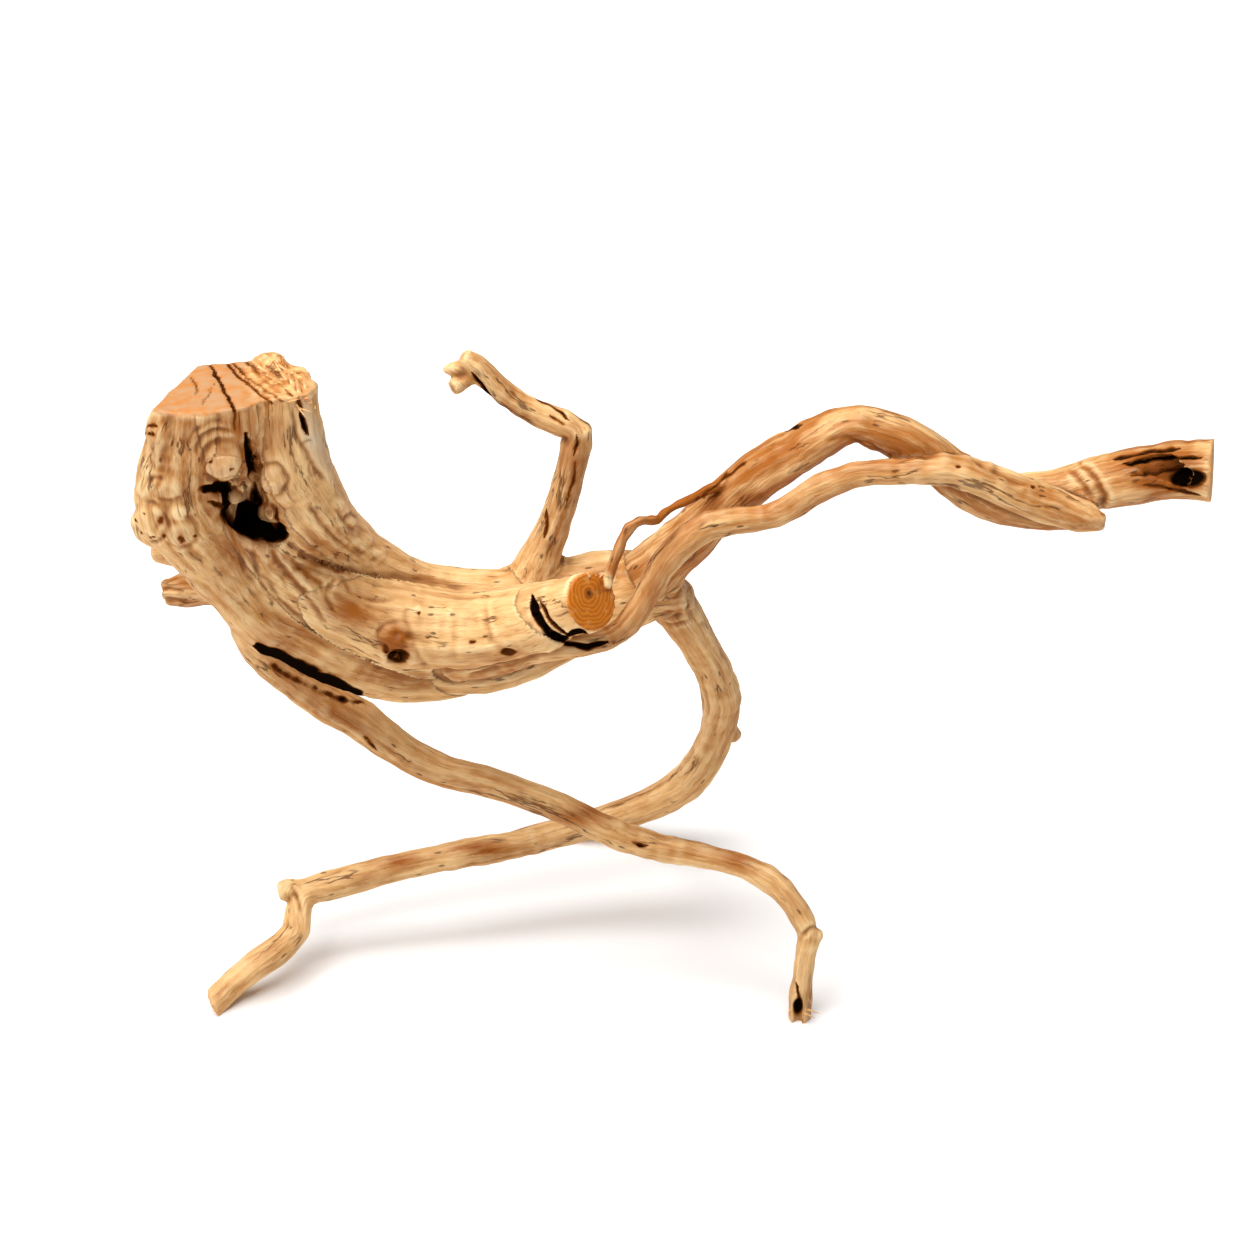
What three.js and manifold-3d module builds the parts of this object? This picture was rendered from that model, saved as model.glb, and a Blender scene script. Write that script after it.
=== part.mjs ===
// A spiderwood root: one grown piece of pale, stripped root wood. A thick sawn crown bends over into
// a trunk of fused strands, branches reach out to the right, and three roots carry it on the ground.
// Millimetres, +X to the right, +Y to the back, +Z up, origin on the ground under the box's centre.

import * as THREE from "three";
import { mergeVertices } from "three/addons/utils/BufferGeometryUtils.js";
import Module from "manifold-3d";

// Driving dimensions
const OVERALL_WIDTH = 350; // from the burl on the crown to the sawn end on the right
const GROUND_SINK = 1; // how much of each foot is worn flat on the ground

// The front view that every station is measured on: the eye looks down by VIEW_TILT from VIEW_DISTANCE
const VIEW_TILT = THREE.MathUtils.degToRad(39);
const VIEW_DISTANCE = 2400;
const SIGHT_ACROSS = -15.4; // where the line of sight meets the view
const SIGHT_UP = 126.1;
const SIGHT_POINT = new THREE.Vector3(SIGHT_ACROSS, 30, 142.5); // the same point in space

// Stations are [across, up, back, radius]: the first two measured on the front view, back the true
// distance behind the two front feet, radius the root's half width there.
const CROWN_AND_TRUNK = [
  [-136, 214, 8, 19],
  [-138, 195, 8, 20],
  [-138, 176, 11, 22],
  [-130, 153, 18, 20.5],
  [-111, 137, 26, 18.5],
  [-90, 128.5, 31, 18],
  [-70, 126.5, 35, 18.5],
  [-50, 129, 39, 17],
  [-32, 134.5, 43, 14.5],
  [-15, 138.5, 46, 12.5],
  [2, 140.5, 48, 9.5],
];
const LEFT_SHOULDER = [
  [-158, 208, -7, 9.6],
  [-158, 195, -7, 10.4],
  [-158.5, 182, -4, 13.4],
  [-158, 167, -1, 15.4],
  [-152.5, 155.5, 1, 13.2],
  [-141.5, 141.8, 5, 11.8],
  [-130, 129.5, 10, 11.4],
  [-115, 120.5, 15, 10.8],
  [-100, 113.8, 20, 10],
  [-85, 110.5, 25, 9],
  [-68, 112, 30, 8],
];
const CROWN_FRONT = [
  [-144, 208, -2, 13],
  [-144, 195, -2, 13.6],
  [-143, 184, 0, 12.5],
  [-141, 174, 6, 8],
];
const CROWN_FACE = [
  [-151, 210, -8, 8.2],
  [-151, 195, -8, 8.6],
  [-151, 183, -5, 8.6],
  [-149, 173, 1, 6],
];
const CROWN_BACK = [
  [-149, 219, 9, 13.6],
  [-149, 198, 9, 14],
  [-148, 183, 9, 12],
  [-144, 168, 11, 8],
];
const RIGHT_SHOULDER = [
  [-128, 210, 3, 12.5],
  [-127.5, 197, 2, 13],
  [-125.5, 182, 3, 14],
  [-119.5, 168, 10, 13],
  [-110, 156, 22, 10.8],
  [-97, 146.4, 30, 8.8],
  [-82, 139.4, 34, 8.4],
  [-62, 136.4, 37, 8.6],
  [-40, 138.8, 42.5, 9.8],
  [-20, 141, 46, 9.5],
];
const MIDDLE_STRAND = [
  [-131, 152, 8, 8],
  [-120, 141, 12, 10.5],
  [-105, 132.5, 16, 12],
  [-90, 127, 17, 13],
  [-74, 125, 17, 13],
  [-60, 125.5, 15.5, 12.2],
  [-48, 128, 12, 11],
  [-38, 131, 8, 9.8],
];
const SAWN_STUB = [
  [-50, 128, 13, 10],
  [-40, 131, 8.5, 9.8],
  [-30, 133.6, 3, 9.4],
  [-18, 136.4, -7, 9.2],
];
const ARCH_BRANCH = [
  [-12, 140, 46, 10],
  [-4, 147, 45, 9.5],
  [3, 153, 44, 8.6],
  [10, 160, 43, 8],
  [18, 167.5, 42, 8],
  [28, 175.3, 42, 8],
  [38, 181.6, 42, 7.8],
  [48, 187.6, 42, 7.2],
  [57, 191.4, 42, 5.9],
  [66, 189.3, 42, 6.6],
  [76, 185, 41, 7.2],
  [86, 178, 40, 7.5],
  [96, 170.8, 39, 8],
  [107, 166, 38, 7.6],
  [119, 163.2, 37, 6.4],
  [128, 162, 36, 5],
];
const SLENDER_BRANCH = [
  [-72, 116, 22, 8],
  [-58, 118, 16, 7.5],
  [-45, 120, 12, 6],
  [-32, 120.5, 10, 4.8],
  [-21, 122.5, 11, 4],
  [-13.5, 129, 14, 4.1],
  [-8.5, 138, 18, 4.4],
  [-3.5, 146.5, 21, 4.6],
  [2.5, 152.8, 24, 4.5],
  [10, 158.4, 26, 4.6],
  [20, 160.4, 28, 4.5],
  [30, 161.3, 29, 4.4],
  [37, 164.6, 30, 4.4],
  [43, 168.9, 30, 4.5],
  [50, 172.3, 31, 4.6],
  [60, 175.4, 32, 4.6],
  [70, 175.8, 32, 4.6],
  [80, 176.6, 32, 5],
  [90, 176.2, 33, 5.6],
  [100, 173, 33, 6],
  [110, 168.6, 33, 6.2],
  [120, 165, 33, 6.2],
  [128, 162.3, 32, 5.6],
  [134, 160.4, 31, 4.8],
  [138, 159.6, 30, 2.6],
];
const BRANCH_END = [
  [100, 168.5, 41, 6],
  [113, 168.8, 43, 6.8],
  [126, 170, 44, 7.8],
  [138, 172.5, 44, 9],
  [150, 175, 43, 9.4],
  [162, 176.4, 42, 9.6],
  [182, 176, 40, 10.6],
];
const CROOKED_TWIG = [
  [-47, 139, 42, 10],
  [-43, 148.5, 44, 7.4],
  [-39.5, 157, 45, 5.8],
  [-36, 167, 46, 5],
  [-33.3, 177, 47, 5.2],
  [-31.6, 184.5, 48, 5.6],
  [-31.5, 189.5, 48.5, 4.9],
  [-36.5, 191.6, 49, 4.6],
  [-44, 194.6, 50, 4.3],
  [-52, 199, 51, 4.1],
  [-59, 205, 52, 4.1],
  [-64.5, 210.4, 53, 3.9],
  [-68, 213.2, 53.5, 2.6],
];
const TWIG_THUMB = [
  [-63, 208.5, 53, 2.6],
  [-67, 205.5, 51, 2.8],
  [-71.5, 202.8, 48, 2.9],
];
const TWIG_BEAD = [
  [-66, 210, 53, 2.6],
  [-69.5, 209.4, 52.5, 2],
  [-72, 208.8, 52, 2.4],
  [-74.3, 208.4, 51.5, 1.2],
];
const THREAD_ROOT = [
  [-22, 139, 6, 1.9],
  [-20.3, 145, 8, 1.9],
  [-18, 151, 11, 2],
  [-15.6, 156.8, 15, 2],
  [-11, 160.4, 19, 1.8],
  [-5.6, 160.4, 23, 1.8],
  [-2.6, 163.4, 27, 1.6],
  [4, 166.8, 32, 1.6],
  [10, 169.8, 37, 1.8],
  [17, 173, 41, 2],
];
const CROSSING_LEG = [
  [-131, 150, 19, 8],
  [-136.5, 137, 25, 7],
  [-137.5, 126, 30, 5.6],
  [-132, 116.6, 35, 5.2],
  [-122, 108.4, 39, 5.6],
  [-112, 102, 41, 6.3],
  [-103, 97.5, 41, 7],
  [-95, 91.6, 40, 6.7],
  [-86, 85.3, 39, 5.8],
  [-75, 80, 37, 5.6],
  [-62, 77, 35, 5.4],
  [-50, 73.2, 33, 5.2],
  [-38, 68.8, 31, 5],
  [-27, 63.6, 29, 5.1],
  [-16, 58.6, 27, 5],
  [-5, 55.5, 25, 4.4],
  [8, 53, 22, 4.2],
  [20, 50, 18, 4],
  [29, 46, 14, 4.4],
  [36, 40, 10, 4.3],
  [40.2, 33.4, 7, 4],
  [43, 27.8, 5, 4.3],
  [41.8, 20.6, 3.5, 3.6],
  [41, 13, 2, 3.5],
  [40.2, 6.6, 1, 3.9],
  [39.8, -3, -0.5, 3.8],
];
const LOOP_LEG = [
  [-10, 143, 47, 9],
  [-3, 137, 48, 8],
  [2.2, 129.5, 50, 7.2],
  [7.4, 121, 53, 6.7],
  [12.4, 112, 56, 6.5],
  [15.3, 102, 59, 6.3],
  [13.6, 92.6, 61, 6.2],
  [9, 83, 62, 6],
  [2.5, 75, 62, 5.7],
  [-7, 69.4, 61, 5.3],
  [-22, 64.3, 58, 4.9],
  [-35, 60.2, 56, 4.8],
  [-50, 56.6, 53, 4.9],
  [-65, 54, 50, 5],
  [-80, 50.8, 47, 4.8],
  [-95, 47.4, 44, 4.9],
  [-110, 43.5, 40, 5],
  [-119, 40.6, 36.5, 5],
  [-121, 34.4, 31, 4.5],
  [-122, 28, 25.5, 4.6],
  [-127.5, 22.6, 19, 4.8],
  [-136, 16.8, 12.5, 4.9],
  [-143, 10.6, 9, 4.9],
  [-151, 2.6, 2.6, 4.8],
];
const KNUCKLE_STUB = [
  [-119, 41, 37, 4],
  [-124, 41.8, 37, 3.8],
  [-127, 41.2, 36.5, 3],
];
const REAR_PROP = [
  [-10, 139, 52, 7],
  [-1, 131, 57, 6],
  [6, 121, 64, 5.2],
  [11.6, 110, 71, 5],
  [13.4, 98, 78, 4.9],
  [9.6, 86, 84, 4.6],
  [1, 76.5, 88, 4.4],
  [-10, 70, 91, 4.3],
  [-24, 64.6, 92, 4.2],
  [-38, 60.6, 92, 4.1],
  [-50, 57.8, 91, 3.8],
  [-60, 55, 89.5, 3.2],
];
const PROP_KNOB = [
  [12.5, 98, 77, 4],
  [16.5, 94, 79, 3.6],
  [19.6, 90.6, 80, 2.6],
];
const BACK_STUMP = [
  [-138, 143, 26, 10],
  [-149, 139.6, 29, 7.4],
  [-158, 138, 31, 6],
  [-163.4, 137.6, 32, 4.4],
];
const UNDER_LOBE = [
  [-86, 112, 26, 8],
  [-62, 113, 28, 8.4],
  [-48, 116.6, 32, 8],
  [-34, 123, 40, 7],
];
const BACK_FLANGE = [
  [-150, 153, 14, 9],
  [-161, 150.6, 17, 5.6],
  [-167.4, 149.6, 18, 3],
];

// Swellings are [across, up, back, half width, half height, half depth]
const BURLS = [
  [-166, 160, 0, 8.6, 8.6, 9],
  [-159, 158, -9, 6, 7, 5.5],
  [-145.4, 180.2, -12.5, 6.3, 6.3, 5],
  [-138.6, 170, -8.5, 3, 3.4, 4.5],
  [-131.6, 163, -5, 3.6, 3.6, 5],
  [-129.8, 173.4, -7, 5, 4.6, 5],
  [-90, 122, 6.5, 5, 4.4, 4],
  [45.6, 27.2, 5, 2.4, 2.6, 2.8],
  [-130.5, 209.4, 18, 7, 4.4, 6],
];

// Hollows rotted or torn into the wood, as stations of the space that is missing
const CROWN_CREVICE = [
  [-135.4, 187, -16, 0.9],
  [-135, 178, -13, 2],
  [-135, 171, -10, 3.2],
  [-137, 164, -7, 6.4],
  [-134.5, 158.4, -3, 6],
  [-126.4, 154.2, 1, 2.8],
];
const UNDER_BALL_CREVICE = [
  [-150, 171.6, -15, 1],
  [-145, 171.2, -14, 1.8],
  [-139.5, 165.5, -11, 3.6],
];
const END_HOLLOW = [
  [141, 181.5, 39, 1.2],
  [149, 179.5, 38, 3.6],
  [157, 177, 38, 5.2],
  [165, 175.5, 38, 5.6],
  [170, 175.5, 38, 4],
];
const COLLAR_CRACK = [
  [-46.5, 135.5, 4, 0.7],
  [-43.4, 128, 2, 0.9],
  [-37, 122.6, 0, 1.1],
  [-29, 120.2, 0, 1.1],
  [-22.4, 121.8, 2, 0.8],
];
const KNOT_PIT = [
  [-92.5, 116.6, 5, 2.4],
  [-88.4, 117, 5, 2.6],
];
const FOOT_HOLLOW = [
  [39.2, 9, -3.4, 0.8],
  [39.6, 4.6, -3.2, 1.9],
  [39.4, -2, -3, 1.6],
];

// The sawn faces: a place on the front view that each goes through, and the way that it faces
const CROWN_SAW = { place: [-146, 195.6, -15], facing: [-0.06, 0.26, 0.96] };
const CROWN_SIDE_SAW = { place: [-160.5, 203.7, 4], facing: [-0.87, 0.39, 0.3] };
const STUB_SAW = { place: [-26, 134.4, 0.6], facing: [0.6, -0.61, 0.51] };
const FOOT_SAW = { place: [-147.7, 5.6, 5.6], facing: [-0.88, -0.1, -0.45] };
const END_SAW = { place: [172.4, 175.4, 41], facing: [0.99, -0.12, 0.04] };
const CUTTER_SIZE = 400;

// How a limb's section strays from round: lobes round it, their share, and how fast they turn along it
const STRAY_WAVES = [
  { lobes: 2, share: 0.5, turn: 0.05 },
  { lobes: 3, share: 0.4, turn: -0.035 },
  { lobes: 0, share: 0.4, turn: 0.155 },
];
const BURL_SIDES = 9;
const BURL_RINGS = 6;

const BARK_FREE_WOOD = new THREE.MeshStandardMaterial({ color: 0xd9ab77, roughness: 0.72, metalness: 0 });

const wasm = await Module();
wasm.setup();

// The view's own directions: into the picture, and up the picture
const INTO_VIEW = new THREE.Vector3(0, Math.cos(VIEW_TILT), -Math.sin(VIEW_TILT));
const UP_VIEW = new THREE.Vector3(0, Math.sin(VIEW_TILT), Math.cos(VIEW_TILT));
const EYE = SIGHT_POINT.clone().addScaledVector(INTO_VIEW, -VIEW_DISTANCE);

// The point in space that shows at a place on the front view and lies that far back
function fromView([across, up, back]) {
  const ray = INTO_VIEW.clone().multiplyScalar(VIEW_DISTANCE);
  ray.x += across - SIGHT_ACROSS;
  ray.addScaledVector(UP_VIEW, up - SIGHT_UP);
  return EYE.clone().addScaledVector(ray, (back - EYE.y) / ray.y);
}

// A repeatable stream of numbers from 0 to 1
function seeded(seed) {
  let state = seed * 2654435761;
  return () => {
    state = (state * 1664525 + 1013904223) % 4294967296;
    return state / 4294967296;
  };
}

// A closed three.js geometry as a solid that can be joined and cut
function solidOf(geometry) {
  geometry.deleteAttribute("normal");
  geometry.deleteAttribute("uv");
  const merged = mergeVertices(geometry);
  return new wasm.Manifold(
    new wasm.Mesh({
      numProp: 3,
      vertProperties: merged.attributes.position.array,
      triVerts: new Uint32Array(merged.index.array),
    }),
  );
}

// One root or branch: a cylinder bent along its stations and swollen to their radii. Depth is its
// thickness into the view as a share of its width, and gnarl how far its section strays from round.
function limb(stations, { sides = 10, step = 7, depth = 1, gnarl = 0.07, seed = 1 } = {}) {
  const path = new THREE.CatmullRomCurve3(stations.map(fromView), false, "centripetal");
  const girth = new THREE.SplineCurve(stations.map((station, i) => new THREE.Vector2(i, station[3])));
  const length = path.getLength();
  const shape = new THREE.CylinderGeometry(1, 1, 1, sides, Math.max(3, Math.round(length / step)));
  const place = shape.attributes.position;
  const random = seeded(seed);
  const waves = STRAY_WAVES.map((wave) => ({ ...wave, start: random() * 2 * Math.PI }));
  for (let i = 0; i < place.count; i++) {
    const along = place.getY(i) + 0.5;
    const t = path.getUtoTmapping(along);
    const tangent = path.getTangent(t);
    const side = tangent.clone().cross(INTO_VIEW).normalize();
    const inward = side.clone().cross(tangent);
    const angle = Math.atan2(place.getZ(i), place.getX(i));
    const strays = waves.map(
      ({ lobes, share, turn, start }) => share * Math.sin(lobes * angle + start + turn * along * length),
    );
    const stray = strays.reduce((sum, wave) => sum + wave, 0);
    const radius = girth.getPoint(t).y * (1 + gnarl * stray);
    const point = path
      .getPoint(t)
      .addScaledVector(side, place.getX(i) * radius)
      .addScaledVector(inward, place.getZ(i) * radius * depth);
    place.setXYZ(i, point.x, point.y, point.z);
  }
  return solidOf(shape);
}

// A burl or knot: a ball stretched in the view's own directions
function burl([across, up, back, halfWidth, halfHeight, halfDepth]) {
  const shape = new THREE.SphereGeometry(1, BURL_SIDES, BURL_RINGS);
  const place = fromView([across, up, back]);
  const turn = new THREE.Matrix4().makeBasis(new THREE.Vector3(1, 0, 0), INTO_VIEW, UP_VIEW);
  shape.scale(halfWidth, halfDepth, halfHeight).applyMatrix4(turn).translate(place.x, place.y, place.z);
  return solidOf(shape);
}

// A block that takes away everything beyond a plane, on the side that the plane faces
function sawBlock(point, facing) {
  const normal = new THREE.Vector3(...facing).normalize();
  const turn = new THREE.Quaternion().setFromUnitVectors(new THREE.Vector3(0, 0, 1), normal);
  const centre = point.clone().addScaledVector(normal, CUTTER_SIZE / 2);
  const shape = new THREE.BoxGeometry(CUTTER_SIZE, CUTTER_SIZE, CUTTER_SIZE);
  shape.applyQuaternion(turn).translate(centre.x, centre.y, centre.z);
  return solidOf(shape);
}

function sawn(solid, { place, facing }) {
  return solid.subtract(sawBlock(fromView(place), facing));
}

// The crown is sawn before anything grows past it, so that the saw takes nothing else
function sawnCrown() {
  const whole = limb(CROWN_AND_TRUNK, { sides: 20, step: 9, depth: 0.82, gnarl: 0.04, seed: 3 })
    .add(limb(LEFT_SHOULDER, { sides: 14, step: 8, depth: 0.95, gnarl: 0.05, seed: 5 }))
    .add(limb(CROWN_FRONT, { sides: 12, step: 8, gnarl: 0.04, seed: 28 }))
    .add(limb(CROWN_FACE, { sides: 12, step: 8, gnarl: 0.03, seed: 30 }))
    .add(limb(CROWN_BACK, { sides: 14, step: 8, gnarl: 0.04, seed: 29 }))
    .add(limb(RIGHT_SHOULDER, { sides: 14, step: 8, depth: 0.95, gnarl: 0.05, seed: 8 }));
  return sawn(sawn(whole, CROWN_SAW), CROWN_SIDE_SAW);
}

function wholeRoot() {
  return [
    limb(MIDDLE_STRAND, { sides: 14, seed: 6 }),
    sawn(limb(SAWN_STUB, { sides: 16, step: 5, gnarl: 0.04, seed: 2 }), STUB_SAW),
    limb(UNDER_LOBE, { sides: 10, step: 8, seed: 27 }),
    limb(ARCH_BRANCH, { sides: 12, seed: 7 }),
    limb(SLENDER_BRANCH, { seed: 9 }),
    sawn(limb(BRANCH_END, { sides: 14, step: 6, seed: 10 }), END_SAW),
    limb(CROOKED_TWIG, { sides: 10, step: 5, seed: 11 }),
    limb(TWIG_THUMB, { sides: 8, step: 4, seed: 12 }),
    limb(TWIG_BEAD, { sides: 8, step: 2.5, seed: 13 }),
    limb(THREAD_ROOT, { sides: 6, step: 4, seed: 14 }),
    limb(CROSSING_LEG, { seed: 15 }),
    sawn(limb(LOOP_LEG, { seed: 4 }), FOOT_SAW),
    limb(KNUCKLE_STUB, { sides: 8, step: 4, seed: 16 }),
    limb(REAR_PROP, { sides: 9, seed: 17 }),
    limb(PROP_KNOB, { sides: 8, step: 4, seed: 18 }),
    limb(BACK_STUMP, { sides: 12, step: 6, gnarl: 0.14, seed: 19 }),
    limb(BACK_FLANGE, { sides: 8, step: 6, seed: 20 }),
    ...BURLS.map(burl),
  ].reduce((root, grown) => root.add(grown), sawnCrown());
}

// The rot hollows go deep into the view, so each is stretched that way
function withoutHollows(root) {
  return [
    limb(CROWN_CREVICE, { sides: 8, step: 6, depth: 2.6, gnarl: 0.12, seed: 21 }),
    limb(UNDER_BALL_CREVICE, { sides: 8, step: 5, depth: 2.2, gnarl: 0.12, seed: 22 }),
    limb(END_HOLLOW, { sides: 8, step: 6, gnarl: 0.12, seed: 23 }),
    limb(COLLAR_CRACK, { sides: 6, step: 5, depth: 4, seed: 24 }),
    limb(KNOT_PIT, { sides: 8, step: 3, depth: 1.6, seed: 25 }),
    limb(FOOT_HOLLOW, { sides: 6, step: 4, seed: 26 }),
  ].reduce((left, hollow) => left.subtract(hollow), root);
}

// The ground wears the feet flat
function onGround(root) {
  return root.subtract(sawBlock(new THREE.Vector3(0, 0, GROUND_SINK), [0, 0, -1]));
}

function geometryOf(solid) {
  const mesh = solid.getMesh();
  const geometry = new THREE.BufferGeometry();
  geometry.setAttribute("position", new THREE.BufferAttribute(mesh.vertProperties, 3));
  geometry.setIndex(new THREE.BufferAttribute(mesh.triVerts, 1));
  geometry.computeVertexNormals();
  return geometry;
}

// The whole root is brought to its overall width, with its lowest points on the ground
const geometry = geometryOf(onGround(withoutHollows(wholeRoot())));
geometry.computeBoundingBox();
const centre = geometry.boundingBox.getCenter(new THREE.Vector3());
const growth = OVERALL_WIDTH / (geometry.boundingBox.max.x - geometry.boundingBox.min.x);
geometry.translate(-centre.x, -centre.y, -geometry.boundingBox.min.z);
geometry.scale(growth, growth, growth);

const root = new THREE.Mesh(geometry, BARK_FREE_WOOD);
root.name = "spiderwood_root";

const part = new THREE.Group();
part.add(root);

export default part;
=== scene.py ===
# The looks of a spiderwood root: pale, stripped root wood with a sawn crown, standing on its own roots.

import math

import bpy
import numpy as np
from mathutils import Matrix, Vector, kdtree, noise


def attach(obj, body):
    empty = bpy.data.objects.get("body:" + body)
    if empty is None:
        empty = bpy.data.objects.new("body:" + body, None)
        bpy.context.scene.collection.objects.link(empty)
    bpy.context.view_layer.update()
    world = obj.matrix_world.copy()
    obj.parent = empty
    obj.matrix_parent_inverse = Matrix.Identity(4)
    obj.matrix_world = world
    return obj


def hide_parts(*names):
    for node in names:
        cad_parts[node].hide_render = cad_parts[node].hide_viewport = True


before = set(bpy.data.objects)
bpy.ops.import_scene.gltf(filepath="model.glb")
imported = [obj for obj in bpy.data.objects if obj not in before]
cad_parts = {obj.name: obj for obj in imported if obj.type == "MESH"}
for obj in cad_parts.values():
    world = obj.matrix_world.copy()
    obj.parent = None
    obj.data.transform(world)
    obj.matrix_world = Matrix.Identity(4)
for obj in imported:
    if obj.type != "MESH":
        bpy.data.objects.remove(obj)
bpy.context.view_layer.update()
bpy.ops.object.select_all(action="DESELECT")


# The camera stands off with a long lens and looks down on the root, as in the photograph.
# Places on the root are given on this front view, in its own millimetres across and up.
MM = 0.001
VIEW_TILT = math.radians(39)
SIGHT_POINT = np.array([-16.36, -9.37, 144.73]) * MM
SIGHT_DISTANCE = 2454.7 * MM
SIGHT_ACROSS = -15.4
SIGHT_UP = 126.1
VIEW_UNIT = 1.02281 * MM
VIEW_WIDTH = 402.31 * VIEW_UNIT
FEET_BACK = 39.16
INTO_VIEW = np.array([0, math.cos(VIEW_TILT), -math.sin(VIEW_TILT)])
UP_VIEW = np.array([0, math.sin(VIEW_TILT), math.cos(VIEW_TILT)])
EYE = SIGHT_POINT - INTO_VIEW * SIGHT_DISTANCE
SENSOR_WIDTH = 36
FAR_LIMIT = 20

bpy.ops.object.camera_add(location=EYE, rotation=(math.pi / 2 - VIEW_TILT, 0, 0))
camera = bpy.context.object
camera.name = "front_camera"
camera.data.sensor_width = SENSOR_WIDTH
camera.data.lens = SENSOR_WIDTH * SIGHT_DISTANCE / VIEW_WIDTH
camera.data.clip_end = FAR_LIMIT
bpy.context.scene.camera = camera


def from_view(across, up, back):
    """The point that shows at a place on the front view and lies that far behind the front feet."""
    ray = INTO_VIEW * SIGHT_DISTANCE + UP_VIEW * (up - SIGHT_UP) * VIEW_UNIT
    ray[0] += (across - SIGHT_ACROSS) * VIEW_UNIT
    y = (back - FEET_BACK) * VIEW_UNIT
    return EYE + ray * (y - EYE[1]) / ray[1]


def on_view(points):
    """Where points show on the front view, across and up, and how deep they lie in it in millimetres."""
    offset = points - EYE
    depth = offset @ INTO_VIEW
    spread = SIGHT_DISTANCE / depth / VIEW_UNIT
    across = SIGHT_ACROSS + offset[:, 0] * spread
    up = SIGHT_UP + offset @ UP_VIEW * spread
    return across, up, (depth - SIGHT_DISTANCE) / MM


# The studio is a wide white floor under soft light: a large key light overhead, to the left and
# a little to the front, a weak one low on the left, and a dim white sky all round.
FLOOR_SIZE = 6
FLOOR_WHITE = 0.93
FLOOR_ROUGHNESS = 0.9
SKY_STRENGTH = 0.13

bpy.ops.mesh.primitive_plane_add(size=FLOOR_SIZE)
floor = bpy.context.object
floor.name = "studio_floor"
floor_paint = bpy.data.materials.new("studio_white")
floor_paint.use_nodes = True
floor_shader = floor_paint.node_tree.nodes["Principled BSDF"]
floor_shader.inputs["Base Color"].default_value = (FLOOR_WHITE, FLOOR_WHITE, FLOOR_WHITE, 1)
floor_shader.inputs["Roughness"].default_value = FLOOR_ROUGHNESS
floor.data.materials.append(floor_paint)


def soft_light(name, place, size, watts):
    """A square lamp that faces the middle of the root."""
    bpy.ops.object.light_add(type="AREA", location=place)
    lamp = bpy.context.object
    lamp.name = name
    lamp.data.size = size
    lamp.data.energy = watts
    aim = Vector(SIGHT_POINT) - Vector(place)
    lamp.rotation_euler = aim.to_track_quat("-Z", "Y").to_euler()


soft_light("key_light", place=(-0.5, -0.2, 2.2), size=2.4, watts=104)
soft_light("left_light", place=(-1.7, -1.4, 1.0), size=0.9, watts=4)

sky = bpy.data.worlds.new("studio_sky")
sky.use_nodes = True
sky.node_tree.nodes["Background"].inputs["Color"].default_value = (1, 1, 1, 1)
sky.node_tree.nodes["Background"].inputs["Strength"].default_value = SKY_STRENGTH
bpy.context.scene.world = sky
bpy.context.scene.view_settings.view_transform = "Standard"


# The root itself: one grown piece of wood, stripped of its bark, rubbed smooth on the ridges and
# left rough in the folds. It is worked up from the solid as a carver would: the faceted blank is
# made fine and fair, then folds, knots, pits and splits are pressed into it along the grain.
BLANK_GRID = 0.7 * MM
MERGE_GAP = 0.002 * MM

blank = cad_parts["spiderwood_root"]
root_wood = bpy.data.objects.new("root_wood", blank.data.copy())
bpy.context.scene.collection.objects.link(root_wood)
bpy.ops.object.select_all(action="DESELECT")
root_wood.select_set(True)
bpy.context.view_layer.objects.active = root_wood
bpy.ops.object.mode_set(mode="EDIT")
bpy.ops.mesh.select_all(action="SELECT")
bpy.ops.mesh.remove_doubles(threshold=MERGE_GAP)
bpy.ops.object.mode_set(mode="OBJECT")
fine_grid = root_wood.modifiers.new("fine_grid", "REMESH")
fine_grid.mode = "VOXEL"
fine_grid.voxel_size = BLANK_GRID
bpy.ops.object.modifier_apply(modifier=fine_grid.name)

# The saw left four flat faces: each has a place on the front view, the way it faces and its radius
SAWN_FACES = {
    "crown": ((-146, 195.6, -15), (-0.06, 0.26, 0.96), 34),
    "stub": ((-26, 134.4, 0.6), (0.6, -0.61, 0.51), 15),
    "left_foot": ((-147.7, 5.6, 5.6), (-0.88, -0.1, -0.45), 9),
    "branch_end": ((172.4, 175.4, 41), (0.99, -0.12, 0.04), 16),
}
SAWN_DEPTH = 0.6 * MM
SAWN_MARGIN = 1.6
STUB_PITH = (-27, 137, 0.6)


def wood_points():
    """The places and outward directions of the root's mesh points."""
    places = np.empty(len(root_wood.data.vertices) * 3)
    facing = np.empty(len(root_wood.data.vertices) * 3)
    root_wood.data.vertices.foreach_get("co", places)
    root_wood.data.vertices.foreach_get("normal", facing)
    return places.reshape(-1, 3), facing.reshape(-1, 3)


def set_points(places):
    """Moves the root's mesh points."""
    root_wood.data.vertices.foreach_set("co", places.ravel())
    root_wood.data.update()


def near_saw(places, names=tuple(SAWN_FACES)):
    """How much each place belongs to the sawn faces."""
    sawn = np.zeros(len(places))
    for name in names:
        spot, facing, reach = SAWN_FACES[name]
        facing = np.array(facing) / np.linalg.norm(facing)
        offset = places - from_view(*spot)
        lift = np.abs(offset @ facing)
        close = np.linalg.norm(offset, axis=1) < reach * SAWN_MARGIN * MM
        sawn = np.maximum(sawn, close * np.clip(2 - lift / SAWN_DEPTH, 0, 1))
    return sawn


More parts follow.
